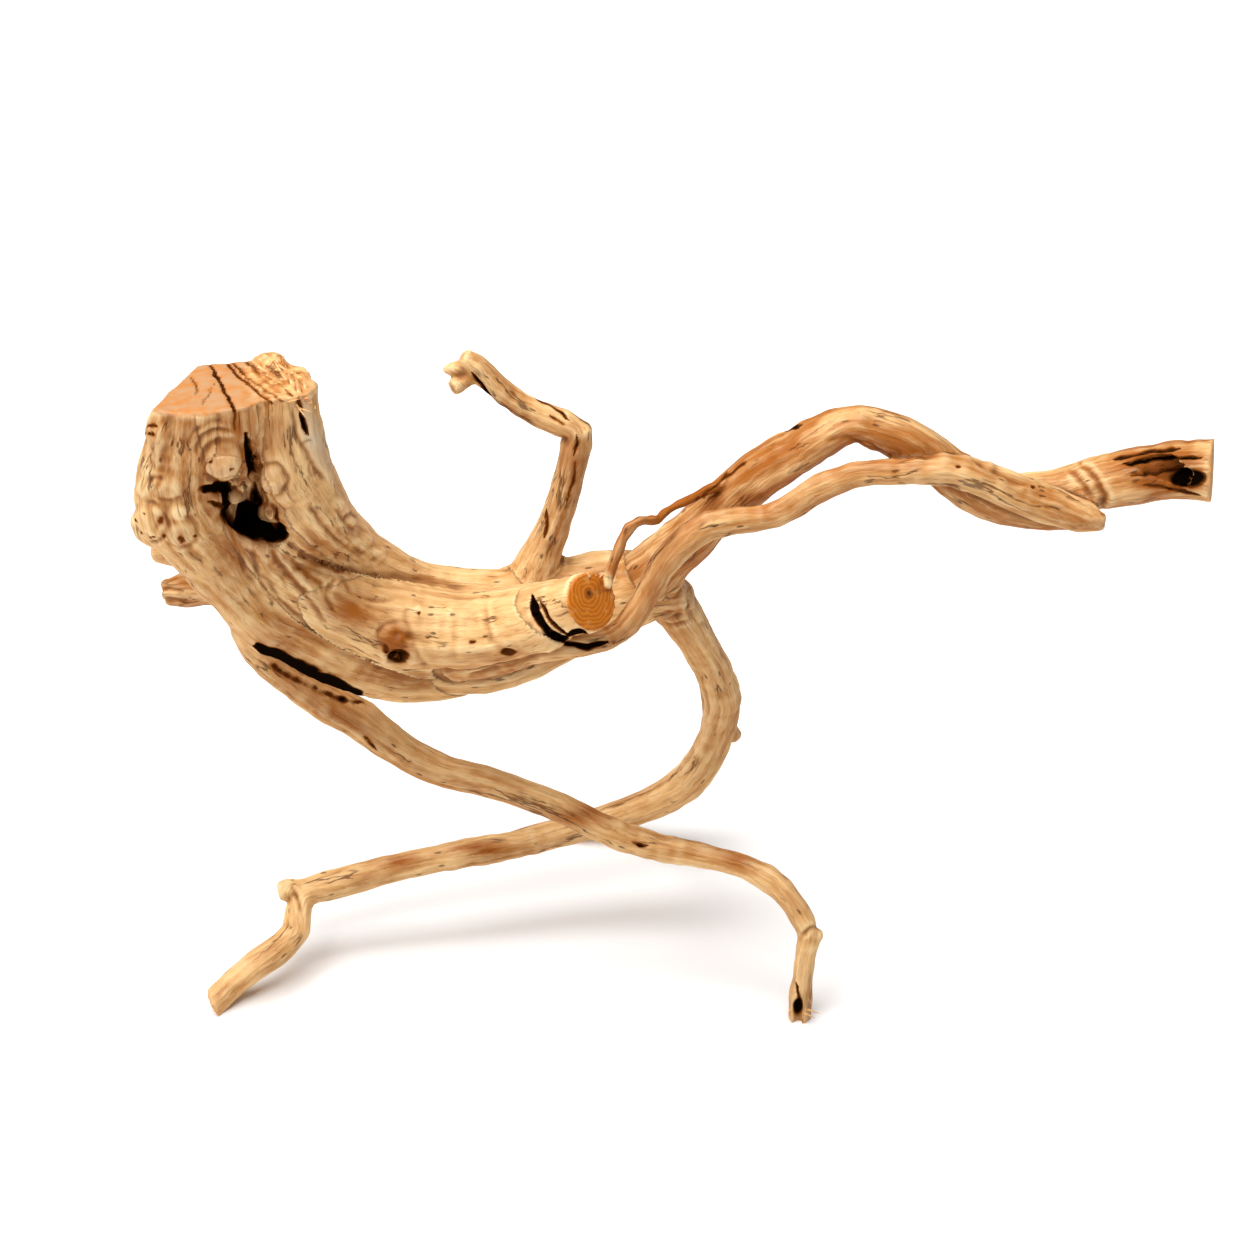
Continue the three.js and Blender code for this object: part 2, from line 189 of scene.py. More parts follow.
class Fairing:
    """Evens out a mesh by moving each point towards the middle of its neighbours in its group."""

    def __init__(self, mesh, groups=None):
        ends = np.empty(len(mesh.edges) * 2, np.int64)
        mesh.edges.foreach_get("vertices", ends)
        self.ends = ends.reshape(-1, 2)
        if groups is not None:
            self.ends = self.ends[groups[self.ends[:, 0]] == groups[self.ends[:, 1]]]
        self.count = len(mesh.vertices)
        self.degree = np.bincount(self.ends.ravel(), minlength=self.count)[:, None]

    def pull(self, values):
        """The step from each point's value to the mean of its neighbours."""
        first, second = self.ends.T
        total = np.empty_like(values)
        for axis in range(values.shape[1]):
            column = values[:, axis]
            total[:, axis] = np.bincount(first, column[second], self.count)
            total[:, axis] += np.bincount(second, column[first], self.count)
        return (total - self.degree * values) / np.maximum(self.degree, 1)


# The facets are faired away, pulling in and then pushing out; sawn faces and soles stay as they are
FAIRING_ROUNDS = 26
FAIRING_PULL = 0.6
FAIRING_PUSH = 0.62
SOLE_HEIGHT = 0.3 * MM
BLUR_PULL = 0.8
places, facing = wood_points()
fairing = Fairing(root_wood.data)
free = (1 - near_saw(places))[:, None] * (places[:, 2:] > SOLE_HEIGHT)
for _ in range(FAIRING_ROUNDS):
    places = places + FAIRING_PULL * free * fairing.pull(places)
    places = places - FAIRING_PUSH * free * fairing.pull(places)
set_points(places)


def sunk_below(places, facing, rounds):
    """How far each point lies below the mesh as it would be if it were fair, in millimetres."""
    smooth = places.copy()
    for _ in range(rounds):
        smooth = smooth + FAIRING_PULL * fairing.pull(smooth)
    return np.sum((smooth - places) * facing, axis=1) / MM


def spread(values, rounds):
    """Values blurred over the mesh."""
    values = values[:, None]
    for _ in range(rounds):
        values = values + BLUR_PULL * fairing.pull(values)
    return values[:, 0]


# The grain runs along the limbs as they grew: each is a route of places on the front view, across, up
# and back, with the limb's radius there
GRAIN_ROUTES = {
    "crown_and_trunk": [
        (-136, 214, 8, 19), (-138, 195, 8, 20), (-138, 176, 11, 22), (-130, 153, 18, 20.5),
        (-111, 137, 26, 18.5), (-90, 128.5, 31, 18), (-70, 126.5, 35, 18.5), (-50, 129, 39, 17),
        (-32, 134.5, 43, 14.5), (-15, 138.5, 46, 12.5), (2, 140.5, 48, 9.5),
    ],
    "left_shoulder": [
        (-158, 208, -7, 9.6), (-158, 195, -7, 10.4), (-158.5, 182, -4, 13.4), (-158, 167, -1, 15.4),
        (-152.5, 155.5, 1, 13.2), (-141.5, 141.8, 5, 11.8), (-130, 129.5, 10, 11.4),
        (-115, 120.5, 15, 10.8), (-100, 113.8, 20, 10), (-85, 110.5, 25, 9), (-68, 112, 30, 8),
    ],
    "right_shoulder": [
        (-128, 210, 3, 12.5), (-127.5, 197, 2, 13), (-125.5, 182, 3, 14), (-119.5, 168, 10, 13),
        (-110, 156, 22, 10.8), (-97, 146.4, 30, 8.8), (-82, 139.4, 34, 8.4), (-62, 136.4, 37, 8.6),
        (-40, 138.8, 42.5, 9.8), (-20, 141, 46, 9.5),
    ],
    "crown_front": [
        (-144, 208, -2, 13), (-144, 195, -2, 13.6), (-143, 184, 0, 12.5), (-141, 174, 6, 8),
    ],
    "crown_face": [
        (-151, 210, -8, 8.2), (-151, 195, -8, 8.6), (-151, 183, -5, 8.6), (-149, 173, 1, 6),
    ],
    "crown_back": [
        (-149, 219, 9, 13.6), (-149, 198, 9, 14), (-148, 183, 9, 12), (-144, 168, 11, 8),
    ],
    "middle_strand": [
        (-131, 152, 8, 8), (-120, 141, 12, 10.5), (-105, 132.5, 16, 12), (-90, 127, 17, 13),
        (-74, 125, 17, 13), (-60, 125.5, 15.5, 12.2), (-48, 128, 12, 11), (-38, 131, 8, 9.8),
    ],
    "sawn_stub": [
        (-50, 128, 13, 10), (-40, 131, 8.5, 9.8), (-30, 133.6, 3, 9.4), (-18, 136.4, -7, 9.2),
    ],
    "under_lobe": [
        (-86, 112, 26, 8), (-62, 113, 28, 8.4), (-48, 116.6, 32, 8), (-34, 123, 40, 7),
    ],
    "arch_branch": [
        (-12, 140, 46, 10), (-4, 147, 45, 9.5), (3, 153, 44, 8.6), (10, 160, 43, 8),
        (18, 167.5, 42, 8), (28, 175.3, 42, 8), (38, 181.6, 42, 7.8), (48, 187.6, 42, 7.2),
        (57, 191.4, 42, 5.9), (66, 189.3, 42, 6.6), (76, 185, 41, 7.2), (86, 178, 40, 7.5),
        (96, 170.8, 39, 8), (107, 166, 38, 7.6), (119, 163.2, 37, 6.4), (128, 162, 36, 5),
    ],
    "slender_branch": [
        (-72, 116, 22, 8), (-58, 118, 16, 7.5), (-45, 120, 12, 6), (-32, 120.5, 10, 4.8),
        (-21, 122.5, 11, 4), (-13.5, 129, 14, 4.1), (-8.5, 138, 18, 4.4), (-3.5, 146.5, 21, 4.6),
        (2.5, 152.8, 24, 4.5), (10, 158.4, 26, 4.6), (20, 160.4, 28, 4.5), (30, 161.3, 29, 4.4),
        (37, 164.6, 30, 4.4), (43, 168.9, 30, 4.5), (50, 172.3, 31, 4.6), (60, 175.4, 32, 4.6),
        (70, 175.8, 32, 4.6), (80, 176.6, 32, 5), (90, 176.2, 33, 5.6), (100, 173, 33, 6),
        (110, 168.6, 33, 6.2), (120, 165, 33, 6.2), (128, 162.3, 32, 5.6), (134, 160.4, 31, 4.8),
        (138, 159.6, 30, 2.6),
    ],
    "branch_end": [
        (100, 168.5, 41, 6), (113, 168.8, 43, 6.8), (126, 170, 44, 7.8), (138, 172.5, 44, 9),
        (150, 175, 43, 9.4), (162, 176.4, 42, 9.6), (182, 176, 40, 10.6),
    ],
    "crooked_twig": [
        (-47, 139, 42, 10), (-43, 148.5, 44, 7.4), (-39.5, 157, 45, 5.8), (-36, 167, 46, 5),
        (-33.3, 177, 47, 5.2), (-31.6, 184.5, 48, 5.6), (-31.5, 189.5, 48.5, 4.9), (-36.5, 191.6, 49, 4.6),
        (-44, 194.6, 50, 4.3), (-52, 199, 51, 4.1), (-59, 205, 52, 4.1), (-64.5, 210.4, 53, 3.9),
        (-68, 213.2, 53.5, 2.6),
    ],
    "thread_root": [
        (-22, 139, 6, 1.9), (-20.3, 145, 8, 1.9), (-18, 151, 11, 2), (-15.6, 156.8, 15, 2),
        (-11, 160.4, 19, 1.8), (-5.6, 160.4, 23, 1.8), (-2.6, 163.4, 27, 1.6), (4, 166.8, 32, 1.6),
        (10, 169.8, 37, 1.8), (17, 173, 41, 2),
    ],
    "crossing_leg": [
        (-131, 150, 19, 8), (-136.5, 137, 25, 7), (-137.5, 126, 30, 5.6), (-132, 116.6, 35, 5.2),
        (-122, 108.4, 39, 5.6), (-112, 102, 41, 6.3), (-103, 97.5, 41, 7), (-95, 91.6, 40, 6.7),
        (-86, 85.3, 39, 5.8), (-75, 80, 37, 5.6), (-62, 77, 35, 5.4), (-50, 73.2, 33, 5.2),
        (-38, 68.8, 31, 5), (-27, 63.6, 29, 5.1), (-16, 58.6, 27, 5), (-5, 55.5, 25, 4.4),
        (8, 53, 22, 4.2), (20, 50, 18, 4), (29, 46, 14, 4.4), (36, 40, 10, 4.3),
        (40.2, 33.4, 7, 4), (43, 27.8, 5, 4.3), (41.8, 20.6, 3.5, 3.6), (41, 13, 2, 3.5),
        (40.2, 6.6, 1, 3.9), (39.8, -3, -0.5, 3.8),
    ],
    "loop_leg": [
        (-10, 143, 47, 9), (-3, 137, 48, 8), (2.2, 129.5, 50, 7.2), (7.4, 121, 53, 6.7),
        (12.4, 112, 56, 6.5), (15.3, 102, 59, 6.3), (13.6, 92.6, 61, 6.2), (9, 83, 62, 6),
        (2.5, 75, 62, 5.7), (-7, 69.4, 61, 5.3), (-22, 64.3, 58, 4.9), (-35, 60.2, 56, 4.8),
        (-50, 56.6, 53, 4.9), (-65, 54, 50, 5), (-80, 50.8, 47, 4.8), (-95, 47.4, 44, 4.9),
        (-110, 43.5, 40, 5), (-119, 40.6, 36.5, 5), (-121, 34.4, 31, 4.5), (-122, 28, 25.5, 4.6),
        (-127.5, 22.6, 19, 4.8), (-136, 16.8, 12.5, 4.9), (-143, 10.6, 9, 4.9), (-151, 2.6, 2.6, 4.8),
    ],
    "rear_prop": [
        (-10, 139, 52, 7), (-1, 131, 57, 6), (6, 121, 64, 5.2), (11.6, 110, 71, 5),
        (13.4, 98, 78, 4.9), (9.6, 86, 84, 4.6), (1, 76.5, 88, 4.4), (-10, 70, 91, 4.3),
        (-24, 64.6, 92, 4.2), (-38, 60.6, 92, 4.1), (-50, 57.8, 91, 3.8), (-60, 55, 89.5, 3.2),
    ],
    "back_stump": [
        (-138, 143, 26, 10), (-149, 139.6, 29, 7.4), (-158, 138, 31, 6), (-163.4, 137.6, 32, 4.4),
    ],
    "back_flange": [
        (-150, 153, 14, 9), (-161, 150.6, 17, 5.6), (-167.4, 149.6, 18, 3),
    ],
}
ROUTE_STEPS = 10
LIMB_SHIFT = 1.7
PLACES_AT_ONCE = 6000
# How far each limb has turned from pale tan to orange brown, or below zero how far it has bleached
LIMB_STAIN = {
    "right_shoulder": -0.4,
    "middle_strand": -0.65,
    "sawn_stub": -0.65,
    "under_lobe": -0.4,
    "arch_branch": 0.68,
    "slender_branch": 0.4,
    "branch_end": 0.3,
    "crooked_twig": 0.15,
    "thread_root": 0.95,
    "crossing_leg": 0.1,
    "loop_leg": 0.05,
    "rear_prop": 0.3,
    "back_stump": 0.6,
    "back_flange": 0.5,
    "crown_front": 0.4,
    "crown_face": 0.4,
}


def along_route(stations):
    """Middle points, radii and lengths from the start, sampled along a limb's route."""
    middles = np.array([from_view(*station[:3]) for station in stations])
    radii = np.array([station[3] for station in stations]) * MM
    before = np.vstack([2 * middles[:1] - middles[1:2], middles[:-1]])
    after = np.vstack([middles[1:], 2 * middles[-1:] - middles[-2:-1]])
    slopes = (after - before) / 2
    rows = []
    for start in range(len(stations) - 1):
        for t in np.arange(ROUTE_STEPS) / ROUTE_STEPS:
            ease = t * t * (3 - 2 * t)
            place = middles[start] * (1 - ease) + middles[start + 1] * ease
            place = place + slopes[start] * t * (1 - t) ** 2 - slopes[start + 1] * t * t * (1 - t)
            radius = radii[start] * (1 - t) + radii[start + 1] * t
            rows.append((*place, radius))
    rows = np.array(rows)
    run = np.diff(rows[:, :3], axis=0, append=rows[-1:, :3] + slopes[-1] / ROUTE_STEPS)
    step = np.linalg.norm(run, axis=1)
    return rows[:, :3], rows[:, 3], run / step[:, None], np.cumsum(step) - step


def grain_at(places):
    """Each place's limb, its grain coordinates in millimetres, the limb's radius, and its stain."""
    middles, radii, heading, length, tint, owner = [], [], [], [], [], []
    for number, (name, stations) in enumerate(GRAIN_ROUTES.items()):
        route = along_route(stations)
        middles.append(route[0])
        radii.append(route[1])
        heading.append(route[2])
        length.append(route[3] + number * LIMB_SHIFT)
        tint.append(np.full(len(route[1]), LIMB_STAIN.get(name, 0)))
        owner.append(np.full(len(route[1]), number))
    middles = np.vstack(middles)
    radii = np.hstack(radii)
    heading = np.vstack(heading)
    length = np.hstack(length)
    tint = np.hstack(tint)
    owner = np.hstack(owner)
    nearest = np.empty(len(places), np.int64)
    middle_squares = np.sum(middles**2, axis=1)
    for rows in np.array_split(np.arange(len(places)), len(places) // PLACES_AT_ONCE + 1):
        part = places[rows]
        squares = np.sum(part**2, axis=1)[:, None] + middle_squares - 2 * part @ middles.T
        nearest[rows] = np.argmin(squares / radii**2, axis=1)
    way = heading[nearest]
    side = np.cross(way, INTO_VIEW)
    side /= np.linalg.norm(side, axis=1, keepdims=True)
    inward = np.cross(side, way)
    offset = places - middles[nearest]
    along = length[nearest] + np.sum(offset * way, axis=1)
    grain = np.stack([along, np.sum(offset * side, axis=1), np.sum(offset * inward, axis=1)], axis=1)
    return owner[nearest], grain / MM, radii[nearest] / MM, tint[nearest]


def roughness(coordinates, sizes):
    """Smooth random heights between -1 and 1, with bumps of the given sizes."""
    scaled = coordinates / np.array(sizes)
    return np.fromiter(map(noise.noise, scaled.tolist()), float, len(scaled))


# The strands of the trunk have fused, so the valleys between thick strands are part filled
GRAIN_ROUNDS = 10
THICK_STRAND = 8
STRAND_BLUR = 10
FILLING_ROUNDS = 2
FILLING_SHARE = 0.9
VALLEY_ROUNDS = 80
VALLEY_LIMIT = 2
lasting = free[:, 0]
limb, grain, limb_radius, limb_stain = grain_at(places)
within_limb = Fairing(root_wood.data, limb)
for _ in range(GRAIN_ROUNDS):
    grain = grain + BLUR_PULL * within_limb.pull(grain)
fused = spread(np.clip(limb_radius - THICK_STRAND, 0, 1), STRAND_BLUR) * lasting
for _ in range(FILLING_ROUNDS):
    places, facing = wood_points()
    valley = np.clip(sunk_below(places, facing, VALLEY_ROUNDS), 0, VALLEY_LIMIT)
    set_points(places + facing * (FILLING_SHARE * valley * fused * MM)[:, None])

# All over, the wood swells and shrinks, carries long flutes and fine ridges, and wrinkles in patches.
# Swells and flutes rise by a share of the limb's radius, the rest by millimetres.
THICKEST_SWELL = 12
SWELL_RISE = 0.06
SWELL_SIZE = (26, 11, 11)
FLUTE_RISE = 0.04
FLUTE_SIZE = (48, 5, 5)
RIB_RISE = 0.22
RIB_SIZE = (18, 2.2, 2.2)
WRINKLED_PATCH = (24, 24, 24)
WRINKLE_RISE = 0.35
WRINKLE_SIZE = (3.6, 13, 13)
BUMP_RISE = 0.35
BUMP_SIZE = (6, 6, 6)
TRUNK_BUMP_RISE = 0.9
TRUNK_BUMP_SIZE = (11, 11, 11)
places, facing = wood_points()
girth = np.minimum(limb_radius, THICKEST_SWELL)
relief = girth * SWELL_RISE * roughness(grain, SWELL_SIZE)
relief += girth * FLUTE_RISE * roughness(grain, FLUTE_SIZE)
relief += RIB_RISE * roughness(grain, RIB_SIZE)
wrinkled = np.clip(roughness(places / MM, WRINKLED_PATCH) * 3, 0, 1)
relief += WRINKLE_RISE * wrinkled * roughness(grain, WRINKLE_SIZE)
relief += BUMP_RISE * roughness(places / MM, BUMP_SIZE)
relief += TRUNK_BUMP_RISE * fused * roughness(places / MM, TRUNK_BUMP_SIZE)
places = places + facing * (relief * lasting * MM)[:, None]
set_points(places)

# Low lumps, by their place on the front view, radius and rise
KNOTS = [
    (-169.4, 159.4, 6, 1.1),
    (-165.6, 163.4, 2.6, 1.1),
    (-164.4, 157.6, 2.4, 1.0),
    (-158.6, 156.6, 4.8, 1.1),
    (-159.4, 162.8, 3.6, 1.2),
    (-162.4, 170.6, 4.6, 1.0),
    (-169.6, 170.4, 3.4, 1.2),
    (-155.6, 172.4, 3.4, 0.6),
    (-125, 167, 3.0, 1.0),
    (-104.2, 160, 2.2, 0.9),
    (-108.6, 165.4, 2.6, 1.0),
    (-99.6, 154, 2.8, 1.0),
    (-112.4, 160.4, 3.2, 0.8),
    (-95, 149.6, 2.6, 0.8),
    (-91.6, 123.6, 3.4, 0.9),
    (-88.4, 121.6, 3.0, 1.2),
    (-87.4, 125.4, 2.6, 0.7),
    (-85.6, 120.6, 2.2, 0.6),
    (-82.6, 131, 2.2, 0.7),
    (-53.6, 118.4, 3.4, 0.5),
    (-2.5, 131.5, 4.6, 0.6),
    (-112.3, 99.3, 2.6, 0.6),
    (101, 178.4, 2.2, 0.9),
    (134.6, 160.2, 4, 0.4),
]
# Rounder lumps that stand proud, rubbed bright: the ball knot and the knobs in the rot hole
BALLS = [
    (-145, 179.8, 6.3, 2.2),
    (-140.8, 167.8, 2.8, 2.8),
    (-137.5, 172.2, 2.0, 2.6),
    (-131.4, 162.4, 3.4, 1.8),
    (-129.6, 173.6, 4.6, 0.9),
]


def arc(across, up, radius, start, end):
    """A route that bends round a place, between two angles in degrees from the right."""
    turns = np.radians(np.linspace(start, end, 9))
    return [(across + radius * math.cos(turn), up + radius * math.sin(turn)) for turn in turns]


# Soft folds: half width, depth, and the route on the front view
FOLDS = [
    (0.8, 0.9, arc(-145, 179.8, 7.3, -150, 40)),
    (0.7, 0.5, arc(-145.4, 180.6, 9.0, 60, 190)),
    (0.6, 0.4, arc(-146, 181, 11.2, 80, 170)),
    (0.7, 0.6, arc(-129.8, 173.4, 5.6, -60, 200)),
    (0.6, 0.6, arc(-169.8, 159.4, 6.9, -80, 90)),
    (0.6, 0.4, arc(-158.6, 156.8, 5.6, -210, 100)),
    (0.7, 0.6, [(-171.5, 168.5), (-168, 174.5), (-164.5, 174), (-166.5, 170.5)]),
    (0.6, 0.5, [(-167, 168), (-162, 166.8), (-157, 168.4)]),
    (0.8, 0.7, [(-135.5, 154.5), (-135.3, 147.6), (-131, 136.8)]),
    (0.9, 0.8, [(-131, 154), (-127, 146.5), (-118.5, 136.8), (-112, 127)]),
    (0.8, 0.6, [(-127, 154), (-121, 145.5), (-113.5, 140), (-111.4, 133)]),
    (0.7, 0.5, [(-140, 152), (-138.5, 145), (-134, 139), (-127, 133)]),
    (0.7, 0.5, [(-133, 144), (-126, 134), (-119, 128)]),
    (1.1, 1.0, [(-126, 155), (-121.5, 150.5), (-115, 147.3), (-108.6, 145), (-100, 143.4)]),
    (1.0, 0.5, [(-100, 143.4), (-90, 142.2), (-79, 141.2), (-66, 138.5)]),
    (0.8, 0.7, [(-109, 142), (-111.4, 138.5), (-111.6, 134.5), (-108, 130)]),
    (0.8, 0.5, [(-106.6, 141), (-104, 137), (-97, 134.6), (-90, 135)]),
    (0.8, 0.7, [(-123, 197), (-121.5, 188), (-117.5, 180), (-112, 172.5)]),
    (0.6, 0.7, arc(-117.6, 184, 1.8, 0, 300)),
    (0.6, 0.7, arc(-115.6, 177, 1.7, 40, 330)),
    (0.6, 0.6, arc(-104.2, 160, 2.3, 0, 320)),
    (0.8, 0.7, [(-118, 166), (-112, 157.4), (-106, 152), (-99, 147)]),
    (0.7, 0.7, [(-109.4, 164), (-105.4, 158)]),
    (0.7, 0.7, [(-107, 158.5), (-102.5, 154.5)]),
    (0.7, 0.7, [(-105, 152.6), (-100.6, 149.6), (-98, 152)]),
    (0.7, 0.7, [(-98.6, 147), (-94, 149.6)]),
    (0.8, 0.25, [(-87, 134), (-86, 128), (-84.8, 121.5), (-81, 114.6), (-76, 109.8)]),
    (0.7, 0.5, arc(-90.2, 122.8, 5.0, 60, 190)),
    (0.6, 0.6, [(-90.4, 126), (-89.6, 122.6), (-90.6, 119.6)]),
    (0.6, 0.5, [(-86.6, 123), (-88.6, 119.6)]),
    (0.9, 0.3, [(-61.2, 134), (-60.6, 127.5), (-58.8, 121.8), (-53.5, 118.3), (-46.6, 117)]),
    (1.3, 1.2, [(-66, 110.5), (-57, 113), (-48, 115.2), (-41.5, 118)]),
    (1.0, 0.9, [(-5, 131.6), (0, 130.4), (5, 133)]),
    (0.8, 0.7, [(-4, 127.6), (-1, 126.6), (5, 128.6)]),
    (0.9, 0.8, [(95, 180.2), (100.4, 177.6), (107, 173.6), (114, 171)]),
    (1.1, 1.3, [(130, 179), (135, 173.5), (137.8, 168.5), (137, 163)]),
    (0.8, 0.7, [(126, 177), (131, 171.5), (133.8, 166.5)]),
    (0.7, 0.6, [(48, 185.6), (55, 187), (62, 185.2), (68, 181)]),
    (0.7, 0.7, [(40, 25.6), (43.6, 29.6), (46.6, 30)]),
    (0.7, 0.9, [(-167, 141.4), (-157, 142)]),
    (0.7, 0.9, [(-167, 138), (-156, 138.4)]),
    (0.7, 0.9, [(-166, 135), (-155, 134.6)]),
    (0.7, 0.7, [(-123.6, 43.6), (-120.6, 38), (-119.6, 33)]),
]
# Splits and drying cracks, and one shadow gap: half width, depth, how much painted shade darkens them, and
# the route
SPLITS = [
    (1.0, 2.6, 1.0, [(-137.6, 188), (-136.4, 181), (-135.0, 174), (-135.5, 166)]),
    (1.4, 2.0, 1.3, [(-151, 169.4), (-147.5, 171), (-144, 170.6), (-143.6, 166), (-140, 163)]),
    (0.7, 1.3, 0.7, [(-150, 166.4), (-145, 164.6), (-140.5, 160.6)]),
    (0.8, 1.6, 0.9, [(-131.5, 169), (-133.5, 166), (-135, 163)]),
    (0.7, 1.1, 0.8, [(-128.4, 164.5), (-127.6, 160), (-127.4, 154.6)]),
    (0.45, 0.7, 0.7, [(-169.8, 190.4), (-165.4, 190.4)]),
    (0.45, 0.6, 0.7, [(-169.8, 188.2), (-166, 188.3)]),
    (0.4, 0.6, 0.6, [(-142.2, 197), (-141, 194.3), (-141.6, 189)]),
    (0.45, 1.0, 0.8, [(-150.5, 214), (-147.4, 207), (-145, 203), (-142.8, 198.6), (-140.6, 195)]),
    (0.4, 0.9, 0.7, [(-147, 213.6), (-141, 207.6), (-135, 202.6), (-129, 197.6)]),
    (0.4, 0.8, 0.6, [(-144.6, 213.4), (-138, 207), (-131.6, 201.6), (-125, 198)]),
    (0.4, 0.8, 0.7, [(-140.6, 213.6), (-133, 207), (-122, 199.4)]),
    (0.35, 0.5, 0.45, [(-156, 207), (-153.4, 203.4), (-153.8, 199.6)]),
    (0.35, 0.4, 0.35, [(-147.6, 205), (-149.6, 200.4), (-152, 197.6)]),
    (0.8, 1.6, 0.9, [(-120.4, 195), (-119.2, 192), (-117.8, 188)]),
    (0.4, 0.7, 0.6, [(-121, 200), (-120, 195)]),
    # This one is no split but the gap between the trunk's lower edge and the crossing leg: a shallow
    # groove filled with painted shadow
    (2.4, 0.8, 1.8, [(-134, 120.2), (-124.1, 113.3), (-114.4, 109.0), (-105, 104.4), (-98.6, 102.6)]),
    (0.9, 2.0, 1.2, [(-45.6, 136.4), (-45.2, 131.5), (-43, 127), (-39.5, 123.6), (-34, 121)]),
    (0.9, 1.6, 1.2, [(-40, 123.8), (-33, 120.6), (-28, 119.8), (-21.6, 121.2)]),
    (0.5, 1.2, 0.8, [(-43.2, 134.4), (-41.2, 129), (-37.6, 125.4), (-34.5, 123.6)]),
    (0.8, 1.4, 1.2, [(-35, 122.8), (-31, 124.4), (-27.6, 123)]),
    (0.4, 0.7, 0.6, [(8.5, 167.6), (14, 172.5), (23, 179.5)]),
    (0.35, 0.6, 0.5, [(4, 160), (9, 165.4), (15, 170)]),
    (0.4, 0.6, 0.6, [(35.4, 189), (38.4, 190.4), (41, 191)]),
    (0.6, 1.0, 0.8, [(141, 180.2), (150, 182), (162, 183.6)]),
    (0.6, 1.0, 0.9, [(143.6, 178.4), (156, 180.2), (168.6, 180.8)]),
    (0.5, 0.9, 0.7, [(146, 174.6), (154, 175.6), (161, 176.6)]),
    (0.5, 0.8, 0.7, [(150, 171.6), (158, 170.6), (168.6, 168.4)]),
    (0.5, 0.9, 0.9, [(-65.4, 208), (-61, 201.5), (-57, 197.4), (-53, 195)]),
    (0.4, 0.7, 0.7, [(-45, 199.6), (-40, 197.4), (-36, 195), (-33.6, 192.6)]),
    (0.35, 0.6, 0.6, [(-40.6, 194.4), (-37, 192.6), (-34.6, 190.6)]),
    (0.5, 0.7, 0.8, [(-31.4, 187.6), (-31.8, 184), (-32.6, 181)]),
    (0.35, 0.6, 0.6, [(-32, 180), (-32.4, 173), (-34.6, 166)]),
    (0.6, 0.7, 0.6, [(-41.4, 163.6), (-41.4, 158.6), (-42.6, 154.4)]),
    (0.4, 0.7, 0.7, [(-100.5, 91.2), (-97.8, 88.6), (-95.6, 86.4)]),
    (0.4, 0.6, 0.6, [(-14, 57), (-11, 56), (-8.6, 56.6)]),
    (0.4, 0.6, 0.7, [(38.6, 12), (39.4, 7), (39, 2.4)]),
]
# Ridges: half width, height and route
RIDGES = [
    (1.1, 0.8, arc(-145.2, 180.4, 8.1, 50, 200)),
    (0.9, 0.6, arc(-145.6, 181, 10.1, 70, 180)),
    (1.2, 0.7, [(-133.2, 153), (-131.2, 146.5), (-125, 138)]),
    (1.2, 0.7, [(-129, 152), (-123.6, 144.6), (-116, 138)]),
    (1.0, 0.5, [(-137.3, 151), (-136.6, 144), (-130, 135)]),
    (2.4, 1.8, [(-164.9, 195.6), (-165, 186), (-165.6, 177)]),
    (1.1, 0.25, [(-85.4, 135), (-84, 128), (-83, 121), (-79, 114.6), (-74, 110)]),
    (1.1, 0.3, [(-59.6, 135), (-58.8, 127.5), (-57, 122.8), (-52, 120), (-46, 119)]),
    (1.3, 0.8, [(-112, 166), (-107, 159.4), (-102, 153.6), (-96, 148.6)]),
    (1.1, 0.8, [(128.6, 177.4), (133, 172.4), (135.6, 167.6)]),
]
# Rot holes and pits: half width and half height on the front view, depth, and how much painted shade
# darkens them
PITS = [
    (-139.6, 162.4, 5.4, 4.8, 3.0, 1.0),
    (-134.4, 159.8, 6.2, 5.0, 3.0, 1.0),
    (-128.6, 156.6, 4.0, 3.0, 2.0, 1.0),
    (-134.8, 166, 2.2, 4.4, 2.0, 0.8),
    (-147.6, 170.6, 4.6, 1.4, 1.2, 1.0),
    (-158.4, 154.6, 0.8, 1.6, 0.7, 0.5),
    (-165, 160.6, 0.6, 1.2, 0.8, 0.5),
    (-88.6, 116.6, 3.0, 2.2, 1.8, 0.75),
    (-92.8, 119.2, 1.0, 1.5, 0.8, 0.6),
    (-65, 121.2, 1.0, 0.5, 0.5, 0.6),
    (-53.6, 118.2, 2.4, 1.2, 0.9, 0.7),
    (38.6, 190.2, 1.3, 0.5, 0.5, 0.8),
    (164.6, 173.8, 5.4, 2.9, 1.6, 1.0),
    (-11.2, 56.1, 1.1, 0.7, 0.5, 0.8),
    (39.4, 4.4, 1.4, 2.6, 0.8, 0.9),
]
# Pinholes that insects left, some of them on the lumps: radius and depth
PINHOLES = [
    (-148.6, 179.6, 0.6, 0.6),
    (-142.8, 177.6, 0.5, 0.5),
    (-172.4, 160.4, 0.5, 0.6),
    (-170.8, 157, 0.5, 0.6),
    (-169.8, 162.6, 0.45, 0.6),
    (-167.6, 155.4, 0.55, 0.6),
    (-164.4, 155.2, 0.6, 0.8),
    (-154, 155.4, 0.5, 0.6),
    (-82.2, 130.2, 0.7, 0.6),
    (91, 177.6, 0.7, 0.5),
    (114.6, 170.8, 0.6, 0.4),
]
# Painted shade darkens the pinholes up to this share
PINHOLE_SHADE = 0.62
LIMB_BLUR = 12
